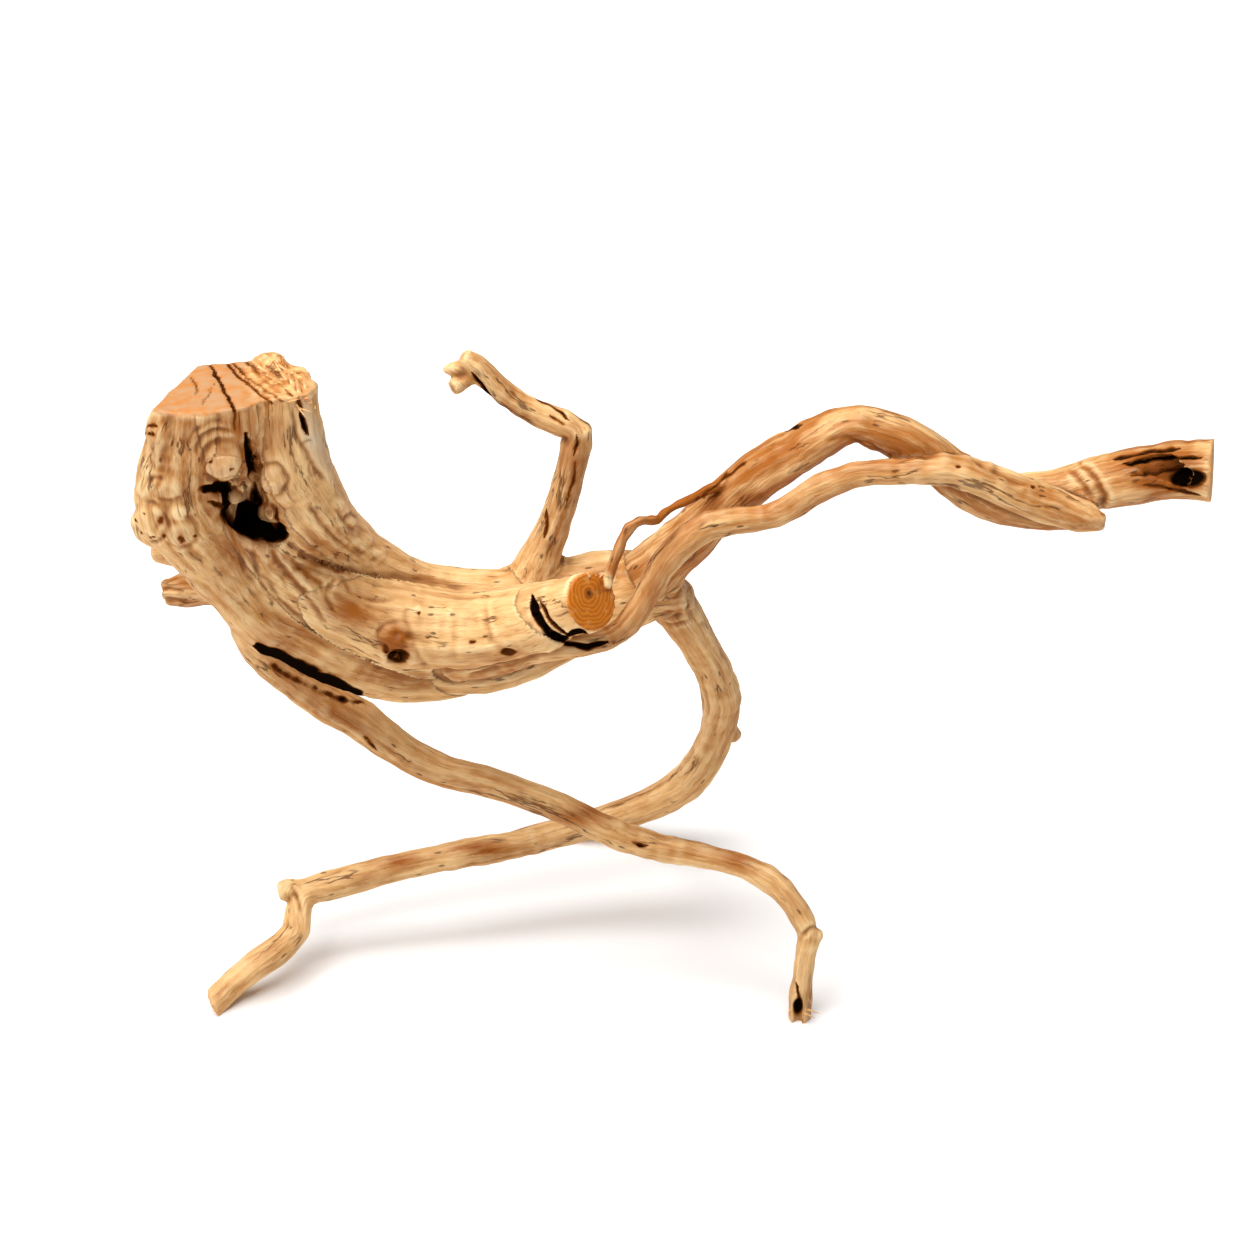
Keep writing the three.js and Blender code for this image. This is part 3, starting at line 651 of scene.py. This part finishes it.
# Where sap and rot have turned the wood orange brown, and one patch of painted shade: half width, half
# height and strength
STAINS = [
    (-141, 151, 7, 9, 0.8),
    (-134.6, 178, 6, 11, 1.1),
    (-147, 169, 6, 5, 0.7),
    (-135, 163, 11, 12, 1.2),
    (-103, 131, 12, 8, 0.75),
    (-89.6, 121, 6, 6, 1.3),
    (-117, 151, 9, 5, 0.7),
    (-153, 186, 14, 13, 0.6),
    (-128, 188, 8, 12, 0.5),
    (-72, 113, 16, 4, 0.45),
    (-54, 114, 9, 4, 0.9),
    (-3, 131, 8, 8, 0.7),
    (8, 160, 10, 7, 0.55),
    (24, 176, 12, 5, 0.4),
    (66, 181, 10, 7, 0.65),
    (88, 171, 12, 6, 0.5),
    (133, 170, 7, 9, 0.6),
    (156, 176.5, 17, 8, 1.7),
    (-33, 181, 4, 9, 0.55),
    (-52, 197, 13, 6, 0.45),
    (-30, 66, 9, 4, 1.2),
    (-62, 54.4, 9, 3, 1.1),
    (-88, 51, 7, 3, 0.9),
    (20, 51, 8, 4, 0.7),
    # Painted shade on the crossing leg under the trunk's lower edge, not a stain
    (-108, 96, 16, 7, 0.45),
    (15, 96, 4, 16, 0.35),
    (36, 36, 6, 9, 0.6),
    (40, 8, 4, 9, 0.6),
    (-127, 21, 10, 6, 0.4),
]
# The torn part of the crown's top: its middle, half width, half height, and the way its fibres run
TORN = (-126.4, 207.2, 10.5, 8.6)
TORN_FIBRE = np.array([0.77, -0.64])
# The grey, weathered edge at the crown's right: half width and route
WEATHERED = (3.6, [(-119.5, 200), (-117, 191), (-113.6, 181), (-110.5, 173)])
TORN_RISE = 1.5
# Marks are drawn on the front view and wander a little, and they reach only the wood that it shows
WOBBLE = 0.7
WOBBLE_SIZE = (4, 4, 4)
SEEN_CELL = 1.5
SEEN_DEPTH = 12
SEEN_TURN = 0.15
SEEN_BLUR = 6


def gap_to_route(across, up, route, reach):
    """Which places lie near a route on the front view, how far off in half widths, and its taper."""
    drawn = np.array(route)
    low = drawn.min(axis=0) - 5 * reach
    high = drawn.max(axis=0) + 5 * reach
    inside = (across > low[0]) & (across < high[0]) & (up > low[1]) & (up < high[1])
    near = np.flatnonzero(inside)
    nearest = np.full(len(near), np.inf)
    for start, end in zip(drawn[:-1], drawn[1:]):
        run = end - start
        off_across = across[near] - start[0]
        off_up = up[near] - start[1]
        share = np.clip((off_across * run[0] + off_up * run[1]) / (run @ run), 0, 1)
        gap = np.hypot(off_across - share * run[0], off_up - share * run[1])
        nearest = np.minimum(nearest, gap)
    ends = np.minimum(
        np.hypot(across[near] - drawn[0, 0], up[near] - drawn[0, 1]),
        np.hypot(across[near] - drawn[-1, 0], up[near] - drawn[-1, 1]),
    )
    thinning_out = np.clip(0.25 + ends / (5 * reach), 0, 1)
    return near, nearest / (reach * thinning_out), thinning_out


def seen_from_front(places, facing):
    """How well the front view shows each point: it faces the view, and nothing lies before it."""
    across, up, depth = on_view(places)
    column = ((across - across.min()) / SEEN_CELL).astype(int) + 1
    row = ((up - up.min()) / SEEN_CELL).astype(int) + 1
    front = np.full((column.max() + 2, row.max() + 2), np.inf)
    np.minimum.at(front, (column, row), depth)
    around = [np.roll(front, shift, (0, 1)) for shift in ((0, 1), (1, 0), (0, -1), (-1, 0), (0, 0))]
    front = np.min(around, axis=0)
    seen = (depth < front[column, row] + SEEN_DEPTH) & (facing @ INTO_VIEW < SEEN_TURN)
    return spread(seen.astype(float), SEEN_BLUR)


# Each mark has its profile: gaps and reaches in half widths, lips and rims as shares of the depth
LIP_SHARE = 0.3
LIP_GAP = 2
LIP_WIDTH = 0.8
FOLD_STAIN = 0.3
FOLD_STAIN_REACH = 2.2
SPLIT_EDGE = 1.7
SPLIT_STAIN = 0.6
SPLIT_STAIN_REACH = 2.5
RIM_SHARE = 0.15
RIM_GAP = 1.6
RIM_WIDTH = 0.35
PIT_EDGE = 2.4
PINHOLE_EDGE = 2.2
HOLE_FADE = 1.8
PIT_STAIN = 0.8
PIT_STAIN_REACH = 1.7
BALL_FLATNESS = 0.7
BALL_UNSHADED = 0.9
TORN_UNSHADED = 0.6
places, facing = wood_points()
across, up, _ = on_view(places)
across = across + WOBBLE * roughness(places / MM, WOBBLE_SIZE)
up = up + WOBBLE * roughness(places / MM + 40, WOBBLE_SIZE)
seen = seen_from_front(places, facing)
sink = np.zeros(len(places))
rise = np.zeros(len(places))
crevice_shade = np.zeros(len(places))
stain = np.zeros(len(places))
bright = np.zeros(len(places))
for half_width, depth, route in FOLDS:
    near, gap, taper = gap_to_route(across, up, route, half_width)
    groove = depth * taper * np.exp(-(gap**2))
    lips = LIP_SHARE * depth * taper * np.exp(-(((gap - LIP_GAP) / LIP_WIDTH) ** 2))
    sap = FOLD_STAIN * depth * taper * np.exp(-((gap / FOLD_STAIN_REACH) ** 2))
    sink[near] = np.maximum(sink[near], groove)
    rise[near] = np.maximum(rise[near], lips)
    stain[near] = np.maximum(stain[near], sap)
for half_width, depth, darkness, route in SPLITS:
    near, gap, taper = gap_to_route(across, up, route, half_width)
    sink[near] = np.maximum(sink[near], depth * taper * np.exp(-(gap**2)))
    crevice_shade[near] = np.maximum(crevice_shade[near], darkness * np.clip(SPLIT_EDGE - gap, 0, 1))
    sap = SPLIT_STAIN * taper * np.exp(-((gap / SPLIT_STAIN_REACH) ** 2))
    stain[near] = np.maximum(stain[near], sap)
for half_width, height, route in RIDGES:
    near, gap, taper = gap_to_route(across, up, route, half_width)
    rise[near] = np.maximum(rise[near], height * taper * np.exp(-(gap**2)))
for middle, level, half_width, half_height, depth, darkness in PITS:
    gap = np.hypot((across - middle) / half_width, (up - level) / half_height)
    sink = np.maximum(sink, depth * np.exp(-(gap**4)))
    rise = np.maximum(rise, RIM_SHARE * depth * np.exp(-(((gap - RIM_GAP) / RIM_WIDTH) ** 2)))
    crevice_shade = np.maximum(crevice_shade, np.clip(PIT_EDGE - HOLE_FADE * gap, 0, darkness))
    stain = np.maximum(stain, PIT_STAIN * np.exp(-((gap / PIT_STAIN_REACH) ** 2)))
for middle, level, radius, height in KNOTS:
    gap = np.hypot(across - middle, up - level) / radius
    rise = np.maximum(rise, height * np.clip(1 - gap**2, 0, 1))
for middle, level, radius, height in BALLS:
    gap = np.hypot(across - middle, up - level) / radius
    dome = np.clip(1 - gap**2, 0, 1) ** BALL_FLATNESS
    rise = np.maximum(rise, height * dome)
    sink = sink * (1 - dome)
    bright = np.maximum(bright, dome)
for middle, level, half_width, half_height, strength in STAINS:
    gap = np.hypot((across - middle) / half_width, (up - level) / half_height)
    stain = np.maximum(stain, strength * np.exp(-(gap**2)))
# The ball knot and the knobs, which stand proud, are mostly kept clear of the painted shade in the holes
# around them
crevice_shade = crevice_shade * (1 - BALL_UNSHADED * np.clip(1.4 * bright, 0, 1))
for middle, level, radius, depth in PINHOLES:
    gap = np.hypot(across - middle, up - level) / radius
    sink = np.maximum(sink, depth * np.exp(-(gap**4)))
    crevice_shade = np.maximum(crevice_shade, np.clip(PINHOLE_EDGE - HOLE_FADE * gap, 0, PINHOLE_SHADE))
weathered = np.zeros(len(places))
near, gap, taper = gap_to_route(across, up, WEATHERED[1], WEATHERED[0])
weathered[near] = taper * np.exp(-(gap**4))
middle, level, half_width, half_height = TORN
gap = np.hypot((across - middle) / half_width, (up - level) / half_height)
torn = np.exp(-(gap**4)) * np.clip(2 * facing[:, 2], 0, 1) * seen
along_tear = across * TORN_FIBRE[0] + up * TORN_FIBRE[1]
beside_tear = up * TORN_FIBRE[0] - across * TORN_FIBRE[1]
tear_places = np.stack([along_tear, beside_tear, np.zeros(len(places))], axis=1)
strips = 1 - 2 * np.abs(roughness(tear_places, (9, 2.2, 1)))
strips = strips - np.abs(roughness(tear_places, (4, 1.1, 1)))
carved = spread((rise - sink) * seen * (1 - torn) + TORN_RISE * torn * strips, 1)
# The painted shade is drawn only where the front view shows the wood, and mostly left off the torn top
crevice_shade = crevice_shade * seen * (1 - TORN_UNSHADED * torn)
stain = np.maximum(stain * seen, spread(limb_stain, LIMB_BLUR))
weathered = weathered * seen
places = places + facing * (carved * MM)[:, None]
set_points(places)

# Thinned to a weight that is easy to handle, with the colour masks, painted shade and painted highlight
# among them, carried over
FINISHED_TRIANGLES = 190000
THINNING_CARE = 0.00002
DETAIL_LEVELS = 9
BROAD_ROUNDS = 50
BROAD_BLUR = 80
FINE_ROUNDS = 8
FINE_SCALE = 0.22
places, facing = wood_points()
# Painted light and shade from the relief: hollows and folds that sink below the faired mesh are darkened
# as painted shade, and ridges that stand above it are lightened as a painted highlight
broad = sunk_below(places, facing, BROAD_ROUNDS)
broad = broad - spread(broad, BROAD_BLUR)
fine = sunk_below(places, facing, FINE_ROUNDS)
fold_shade = np.clip((broad - 0.1) / 1.4, 0, 1) * 0.8 + np.clip(fine / FINE_SCALE, 0, 1) * 0.6
ridge_highlight = np.clip(-broad / 1.0, 0, 1) * 0.7 + np.clip(-fine / FINE_SCALE, 0, 1) * 0.6
masks = {
    "fold_shade": np.clip(fold_shade, 0, 1),
    "ridge_highlight": np.clip(ridge_highlight, 0, 1),
    "crevice_shade": crevice_shade,
    "stain": stain,
    "bleached": spread(np.clip(-limb_stain, 0, 1), LIMB_BLUR),
    "weathered": weathered,
    "torn": torn,
    "bright": bright * seen,
    "crown_cut": near_saw(places, ["crown"]) * (1 - torn),
    "stub_cut": near_saw(places, ["stub"]),
    "foot_cut": near_saw(places, ["left_foot", "branch_end"]),
}
detail = np.clip(np.abs(carved) + crevice_shade + 3 * np.abs(fine), 0, 1)
finder = kdtree.KDTree(len(places))
for number, place in enumerate(places.tolist()):
    finder.insert(place, number)
finder.balance()
triangles = sum(len(face.vertices) - 2 for face in root_wood.data.polygons)
detail_group = root_wood.vertex_groups.new(name="detail")
for level in range(1, DETAIL_LEVELS + 1):
    members = np.flatnonzero(np.round(detail * DETAIL_LEVELS) == level)
    detail_group.add(members.tolist(), level / (DETAIL_LEVELS + 1), "REPLACE")
thinning = root_wood.modifiers.new("thinning", "DECIMATE")
thinning.ratio = min(1, FINISHED_TRIANGLES / triangles)
thinning.vertex_group = detail_group.name
thinning.vertex_group_factor = THINNING_CARE
thinning.invert_vertex_group = True
bpy.ops.object.modifier_apply(modifier=thinning.name)
kept, _ = wood_points()
source = np.array([finder.find(place)[1] for place in kept.tolist()])
for name, values in masks.items():
    mask = root_wood.data.attributes.new(name, "FLOAT", "POINT")
    mask.data.foreach_set("value", values[source])
fibre = root_wood.data.attributes.new("fibre", "FLOAT_VECTOR", "POINT")
fibre.data.foreach_set("vector", grain[source].ravel())
bpy.ops.object.shade_smooth()


def tone(red, green, blue):
    """A colour as it is seen on a screen, 0 to 255, for a shader socket."""
    shares = [value / 255 for value in (red, green, blue)]
    return [s / 12.92 if s <= 0.04045 else ((s + 0.055) / 1.055) ** 2.4 for s in shares] + [1]


class Nodes:
    """Adds nodes to a tree and joins them, so that a finish reads as a list of steps."""

    def __init__(self, tree):
        self.tree = tree

    def feed(self, socket, value):
        """Joins a node's output to a socket, or sets the socket's value."""
        if isinstance(value, bpy.types.NodeSocket):
            self.tree.links.new(value, socket)
        else:
            socket.default_value = value

    def add(self, kind, inputs=(), **settings):
        """A new node with its settings and inputs."""
        made = self.tree.nodes.new(kind)
        for name, value in settings.items():
            setattr(made, name, value)
        for name, value in dict(inputs).items():
            self.feed(made.inputs[name], value)
        return made

    def math(self, operation, first, second=0.0, clamp=False):
        """One sum on two values."""
        inputs = {0: first, 1: second}
        return self.add("ShaderNodeMath", inputs, operation=operation, use_clamp=clamp).outputs[0]

    def stretched(self, vector, sizes):
        """A vector measured in the given sizes."""
        inputs = {0: vector, 1: [1 / size for size in sizes]}
        return self.add("ShaderNodeVectorMath", inputs, operation="MULTIPLY").outputs[0]

    def cloud(self, vector, detail):
        """Smooth random values around a half."""
        inputs = {"Vector": vector, "Scale": 1.0, "Detail": detail}
        return self.add("ShaderNodeTexNoise", inputs).outputs["Fac"]

    def band(self, value, low, high):
        """0 at low, 1 at high, and a ramp between."""
        inputs = {"Value": value, "From Min": low, "From Max": high}
        return self.add("ShaderNodeMapRange", inputs, clamp=True).outputs["Result"]

    def mix(self, share, under, over):
        """One colour laid over another."""
        inputs = {0: share, 6: under, 7: over}
        return self.add("ShaderNodeMix", inputs, data_type="RGBA").outputs[2]

    def mask(self, name):
        """A mask that the mesh carries."""
        return self.add("ShaderNodeAttribute", attribute_name=name).outputs["Fac"]


# Root wood grain: broad light and dark bands, narrow streaks, hair-fine fibres, thin drying cracks and
# short dark flecks, all drawn out along the fibre
grain_group = bpy.data.node_groups.new("root_grain", "ShaderNodeTree")
grain_group.interface.new_socket("Fibre", in_out="INPUT", socket_type="NodeSocketVector")
for output in ("Band", "Streak", "Hair", "Crack", "Fleck"):
    grain_group.interface.new_socket(output, in_out="OUTPUT", socket_type="NodeSocketFloat")
steps = Nodes(grain_group)
fibre_in = steps.add("NodeGroupInput").outputs["Fibre"]
grain_out = steps.add("NodeGroupOutput")
steps.feed(grain_out.inputs["Band"], steps.cloud(steps.stretched(fibre_in, (34, 7, 7)), 4.0))
steps.feed(grain_out.inputs["Streak"], steps.cloud(steps.stretched(fibre_in, (12, 1.2, 1.2)), 5.0))
steps.feed(grain_out.inputs["Hair"], steps.cloud(steps.stretched(fibre_in, (9, 0.6, 0.6)), 2.0))
crack_cloud = steps.cloud(steps.stretched(fibre_in, (26, 3.4, 3.4)), 3.0)
contour = steps.math("ABSOLUTE", steps.math("SUBTRACT", crack_cloud, 0.5))
cracked = steps.band(steps.cloud(steps.stretched(fibre_in, (16, 6, 6)), 1.0), 0.56, 0.64)
steps.feed(grain_out.inputs["Crack"], steps.math("MULTIPLY", steps.band(contour, 0.03, 0.008), cracked))
fleck_cells = {"Vector": steps.stretched(fibre_in, (8, 2.4, 2.4)), "Scale": 1.0}
cells = steps.add("ShaderNodeTexVoronoi", fleck_cells)
cell_tint = steps.add("ShaderNodeSeparateColor", {"Color": cells.outputs["Color"]}).outputs["Red"]
speck = steps.band(cells.outputs["Distance"], 0.2, 0.1)
steps.feed(grain_out.inputs["Fleck"], steps.math("MULTIPLY", speck, steps.band(cell_tint, 0.6, 0.64)))

DEEP_TAN = tone(170, 106, 48)
TAN = tone(206, 150, 88)
PALE_TAN = tone(230, 182, 122)
# This cream serves pale streaks in the grain and the painted highlight on ridges
CREAM_AND_HIGHLIGHT = tone(250, 218, 164)
STAIN = tone(160, 90, 30)
STAIN_AND_SHADE_BROWN = tone(112, 58, 20)
# This brown serves deep stains and dark fibres, and also as painted shade in folds and at the edges of
# splits and holes
CRACK_BROWN = tone(84, 44, 18)
# Near black, for the painted shade deep in splits and holes
CREVICE_SHADE_BLACK = tone(14, 7, 3)
CROWN_CUT = tone(184, 140, 100)
STUB_CUT = tone(196, 112, 32)
STUB_RING = tone(138, 70, 18)
FOOT_CUT = tone(212, 156, 98)
TORN_ORANGE = tone(190, 124, 66)
WEATHER_GREY = tone(206, 184, 154)
WOOD_GLOSS = 0.22
RUBBED_GLOSS = 0.5
GLOSS_ROUGHNESS = 0.4
FIBRE_STRENGTH = 0.7
FIBRE_HEIGHT = 0.8 * MM

wood = bpy.data.materials.new("stripped_wood")
wood.use_nodes = True
steps = Nodes(wood.node_tree)
shader = wood.node_tree.nodes["Principled BSDF"]
fibre_vector = steps.add("ShaderNodeAttribute", attribute_name="fibre").outputs["Vector"]
spot = steps.add("ShaderNodeTexCoord").outputs["Object"]
grain_node = steps.add("ShaderNodeGroup", node_tree=grain_group)
steps.feed(grain_node.inputs["Fibre"], fibre_vector)
band = grain_node.outputs["Band"]
streak = grain_node.outputs["Streak"]
hair = grain_node.outputs["Hair"]
crack = grain_node.outputs["Crack"]
fleck = grain_node.outputs["Fleck"]
colour = steps.mix(steps.band(band, 0.34, 0.5), DEEP_TAN, TAN)
colour = steps.mix(steps.band(band, 0.46, 0.66), colour, PALE_TAN)
colour = steps.mix(steps.math("MULTIPLY", steps.band(streak, 0.5, 0.34), 0.3), colour, STAIN)
colour = steps.mix(steps.math("MULTIPLY", steps.band(streak, 0.52, 0.66), 0.3), colour, CREAM_AND_HIGHLIGHT)
colour = steps.mix(steps.mask("bleached"), colour, PALE_TAN)
# Painted highlight: the ridges are lightened towards cream
colour = steps.mix(steps.math("MULTIPLY", steps.mask("ridge_highlight"), 0.8), colour, CREAM_AND_HIGHLIGHT)
blotch = steps.band(steps.math("ADD", band, steps.math("MULTIPLY", streak, 0.5)), 0.95, 0.6)
stained = steps.math("MULTIPLY", steps.mask("stain"), steps.math("ADD", blotch, 0.35), clamp=True)
colour = steps.mix(stained, colour, STAIN)
colour = steps.mix(steps.band(steps.mask("stain"), 0.8, 1.9), colour, STAIN_AND_SHADE_BROWN)
colour = steps.mix(steps.math("MULTIPLY", steps.band(hair, 0.46, 0.3), 0.35), colour, STAIN_AND_SHADE_BROWN)
colour = steps.mix(steps.math("MULTIPLY", crack, 0.75), colour, CRACK_BROWN)
colour = steps.mix(steps.math("MULTIPLY", fleck, 0.75), colour, CRACK_BROWN)
grey = steps.math("MULTIPLY", steps.mask("weathered"), steps.band(streak, 0.3, 0.55))
colour = steps.mix(grey, colour, WEATHER_GREY)

# The stub's cut shows its rings round the pith; the crown's is plain and a little cloudy
RING_WAVE = 4.4
RING_WANDER = 3.0
CLOUD_SIZE = (4 * MM, 4 * MM, 4 * MM)
cloudy = steps.cloud(steps.stretched(spot, CLOUD_SIZE), 5.0)
stub_middle, stub_facing, _ = SAWN_FACES["stub"]
stub_facing = np.array(stub_facing) / np.linalg.norm(stub_facing)
pith = from_view(*STUB_PITH)
pith = pith - stub_facing * ((pith - from_view(*stub_middle)) @ stub_facing)
pith_gap = steps.add("ShaderNodeVectorMath", {0: spot, 1: pith.tolist()}, operation="DISTANCE")
from_pith = steps.math("DIVIDE", pith_gap.outputs["Value"], MM)
ring = steps.math("ADD", from_pith, steps.math("MULTIPLY", cloudy, RING_WANDER))
ring_wave = steps.math("SINE", steps.math("MULTIPLY", ring, RING_WAVE))
end_grain = steps.mix(steps.math("MULTIPLY", steps.band(ring_wave, -0.6, 1), 0.55), STUB_CUT, STUB_RING)
end_grain = steps.mix(steps.band(cloudy, 0.56, 0.8), end_grain, TAN)
end_grain = steps.mix(steps.band(ring, 3.6, 2.0), end_grain, CRACK_BROWN)
crown_grain = steps.mix(steps.band(cloudy, 0.6, 0.36), CROWN_CUT, TORN_ORANGE)
torn_grain = steps.mix(steps.band(cloudy, 0.42, 0.6), TORN_ORANGE, PALE_TAN)
colour = steps.mix(steps.mask("crown_cut"), colour, crown_grain)
colour = steps.mix(steps.mask("torn"), colour, torn_grain)
colour = steps.mix(steps.mask("stub_cut"), colour, end_grain)
colour = steps.mix(steps.mask("foot_cut"), colour, FOOT_CUT)
colour = steps.mix(steps.math("MULTIPLY", steps.mask("bright"), 0.25), colour, PALE_TAN)
# Painted shade: hollows and folds are darkened towards brown
colour = steps.mix(steps.math("MULTIPLY", steps.mask("fold_shade"), 0.8), colour, STAIN_AND_SHADE_BROWN)
fray = steps.math("MULTIPLY", steps.math("SUBTRACT", streak, 0.5), 0.6)
# Painted shade in splits, rot holes and pinholes: brown at the edges and near black in the depth, frayed
# along the grain
ragged_shade = steps.math("ADD", steps.mask("crevice_shade"), fray)
colour = steps.mix(steps.band(ragged_shade, 0.18, 0.5), colour, STAIN_AND_SHADE_BROWN)
colour = steps.mix(steps.band(ragged_shade, 0.42, 0.85), colour, CREVICE_SHADE_BLACK)
steps.feed(shader.inputs["Base Color"], colour)
rubbed = steps.band(steps.mask("bright"), 2.2, -1.8)
steps.feed(shader.inputs["Roughness"], steps.math("MAXIMUM", rubbed, steps.mask("crevice_shade")))
gloss = steps.math("ADD", steps.math("MULTIPLY", steps.mask("bright"), RUBBED_GLOSS), WOOD_GLOSS)
steps.feed(shader.inputs["Coat Weight"], steps.math("SUBTRACT", gloss, steps.mask("crevice_shade"), clamp=True))
shader.inputs["Coat Roughness"].default_value = GLOSS_ROUGHNESS
shader.inputs["Specular IOR Level"].default_value = 0
height = steps.math("ADD", steps.math("MULTIPLY", streak, 0.9), steps.math("MULTIPLY", hair, 0.5))
height = steps.math("SUBTRACT", height, steps.math("MULTIPLY", steps.math("ADD", fleck, crack), 0.5))
cut = steps.math("ADD", steps.mask("crown_cut"), steps.mask("stub_cut"))
uncut = steps.math("SUBTRACT", 1.0, cut, clamp=True)
strength = steps.math("MULTIPLY", uncut, FIBRE_STRENGTH)
bump_inputs = {"Strength": strength, "Distance": FIBRE_HEIGHT, "Height": height}
bump = steps.add("ShaderNodeBump", bump_inputs)
steps.feed(shader.inputs["Normal"], bump.outputs["Normal"])
root_wood.data.materials.clear()
root_wood.data.materials.append(wood)

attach(root_wood, "root")
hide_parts("spiderwood_root")


# Loose fibres: where the crown broke off beside the saw cut it left slivers of torn wood standing,
# and a few hang at the stub and at the broken foot. Each is a flat, pointed sliver that is still
# grown to the root at its thick end.
SLIVER_LENGTH = 8 * MM
SLIVER_RADIUS = 0.7 * MM
SLIVER_TIP = 0.1 * SLIVER_RADIUS
SLIVER_SIDES = 6
SLIVER_FLATNESS = 0.45
SLIVER_KINKS = ((0.4, 0.5 * MM), (0.72, -0.7 * MM))
SLIVER_ROOT = 0.6 * MM
SLIVER_ROUGHNESS = 0.7
# Where each starts and ends on the front view, how far its tip stands out towards it, and its width
SLIVERS = [
    (-118.4, 199.6, -119.4, 207.4, -5, 1.3),
    (-115.8, 196.6, -116.4, 203.2, -4, 1.1),
    (-117.4, 198.4, -117.2, 205.6, -6, 1.0),
    (-120.6, 201.4, -122.2, 208.6, -5, 1.2),
    (-122.4, 203.6, -125.2, 210.6, -6, 1.2),
    (-124.4, 205.4, -128.8, 211.6, -5, 1.4),
    (-127.6, 208.4, -125.4, 213.8, -5, 1.3),
    (-130.6, 210.4, -127.2, 215, -4, 1.2),
    (-121.4, 196.6, -116.6, 195.2, 2, 0.8),
    (-121.8, 197.6, -118.4, 193.2, 2, 0.7),
    (-123.4, 198.4, -119.4, 199.4, 2, 0.9),
    (-136.6, 208.8, -124.6, 200.2, 2, 1.3),
    (-133.4, 209.4, -121.6, 202.2, 2, 1.3),
    (-138.6, 206.2, -128.4, 198.6, 1, 1.1),
    (-130.8, 206.6, -119.8, 198.4, 2, 1.2),
    (-128.4, 211.2, -120.2, 205.2, 2, 1.2),
    (-27.4, 142.8, -29.2, 146.2, 1, 1.0),
    (-25.6, 143.2, -25.8, 145.8, 1, 0.9),
    (-24.2, 142.6, -21.6, 144.6, 1, 0.8),
    (42.4, 3.4, 47.4, 1.8, 1, 0.7),
    (41.8, 2.2, 45.8, 0.6, 1, 0.6),
    (36.8, 3.2, 36.2, 0.4, 1, 0.9),
]

shown = np.flatnonzero(seen_from_front(places, facing) > 0.5)
shown_across, shown_up, _ = on_view(places[shown])


def on_wood(across, up):
    """The point of the root that shows at a place on the front view."""
    return Vector(places[shown[np.argmin(np.hypot(shown_across - across, shown_up - up))]])


bpy.ops.object.select_all(action="DESELECT")
bpy.ops.mesh.primitive_cone_add(
    vertices=SLIVER_SIDES, radius1=SLIVER_RADIUS, radius2=SLIVER_TIP, depth=SLIVER_LENGTH
)
sliver = bpy.context.object
bpy.ops.object.mode_set(mode="EDIT")
bpy.ops.mesh.select_all(action="SELECT")
bpy.ops.transform.translate(value=(0, 0, SLIVER_LENGTH / 2))
bpy.ops.transform.resize(value=(1, SLIVER_FLATNESS, 1))
for share, _ in SLIVER_KINKS:
    bpy.ops.mesh.select_all(action="SELECT")
    bpy.ops.mesh.bisect(plane_co=(0, 0, share * SLIVER_LENGTH), plane_no=(0, 0, 1))
for share, shift in SLIVER_KINKS:
    bpy.ops.object.mode_set(mode="OBJECT")
    for point in sliver.data.vertices:
        point.select = point.co.z > (share - 0.01) * SLIVER_LENGTH
    bpy.ops.object.mode_set(mode="EDIT")
    bpy.ops.transform.translate(value=(0, shift, 0))
bpy.ops.object.mode_set(mode="OBJECT")

slivers = []
for from_across, from_up, to_across, to_up, reach, width in SLIVERS:
    start = on_wood(from_across, from_up)
    run = Vector(UP_VIEW) * (to_up - from_up) - Vector(INTO_VIEW) * reach
    run = (run + Vector((to_across - from_across, 0, 0))) * VIEW_UNIT
    start = start - run.normalized() * SLIVER_ROOT
    copied = sliver.copy()
    copied.data = sliver.data.copy()
    stretch = Matrix.Diagonal((width, width, run.length / SLIVER_LENGTH, 1))
    turn = run.to_track_quat("Z", "Y").to_matrix().to_4x4()
    copied.matrix_world = Matrix.Translation(start) @ turn @ stretch
    bpy.context.scene.collection.objects.link(copied)
    slivers.append(copied)
bpy.ops.object.select_all(action="DESELECT")
sliver.select_set(True)
bpy.ops.object.delete()
for copied in slivers:
    copied.select_set(True)
loose_fibres = slivers[0]
bpy.context.view_layer.objects.active = loose_fibres
bpy.ops.object.join()
bpy.ops.object.transform_apply(location=True, rotation=True, scale=True)
loose_fibres.name = "loose_fibres"

torn_wood = bpy.data.materials.new("torn_fibre")
torn_wood.use_nodes = True
steps = Nodes(torn_wood.node_tree)
shader = torn_wood.node_tree.nodes["Principled BSDF"]
spot = steps.add("ShaderNodeTexCoord").outputs["Object"]
patchy = steps.cloud(steps.stretched(spot, (2 * MM, 2 * MM, 5 * MM)), 3.0)
steps.feed(shader.inputs["Base Color"], steps.mix(steps.band(patchy, 0.35, 0.65), TORN_ORANGE, PALE_TAN))
shader.inputs["Roughness"].default_value = SLIVER_ROUGHNESS
loose_fibres.data.materials.append(torn_wood)
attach(loose_fibres, "root")
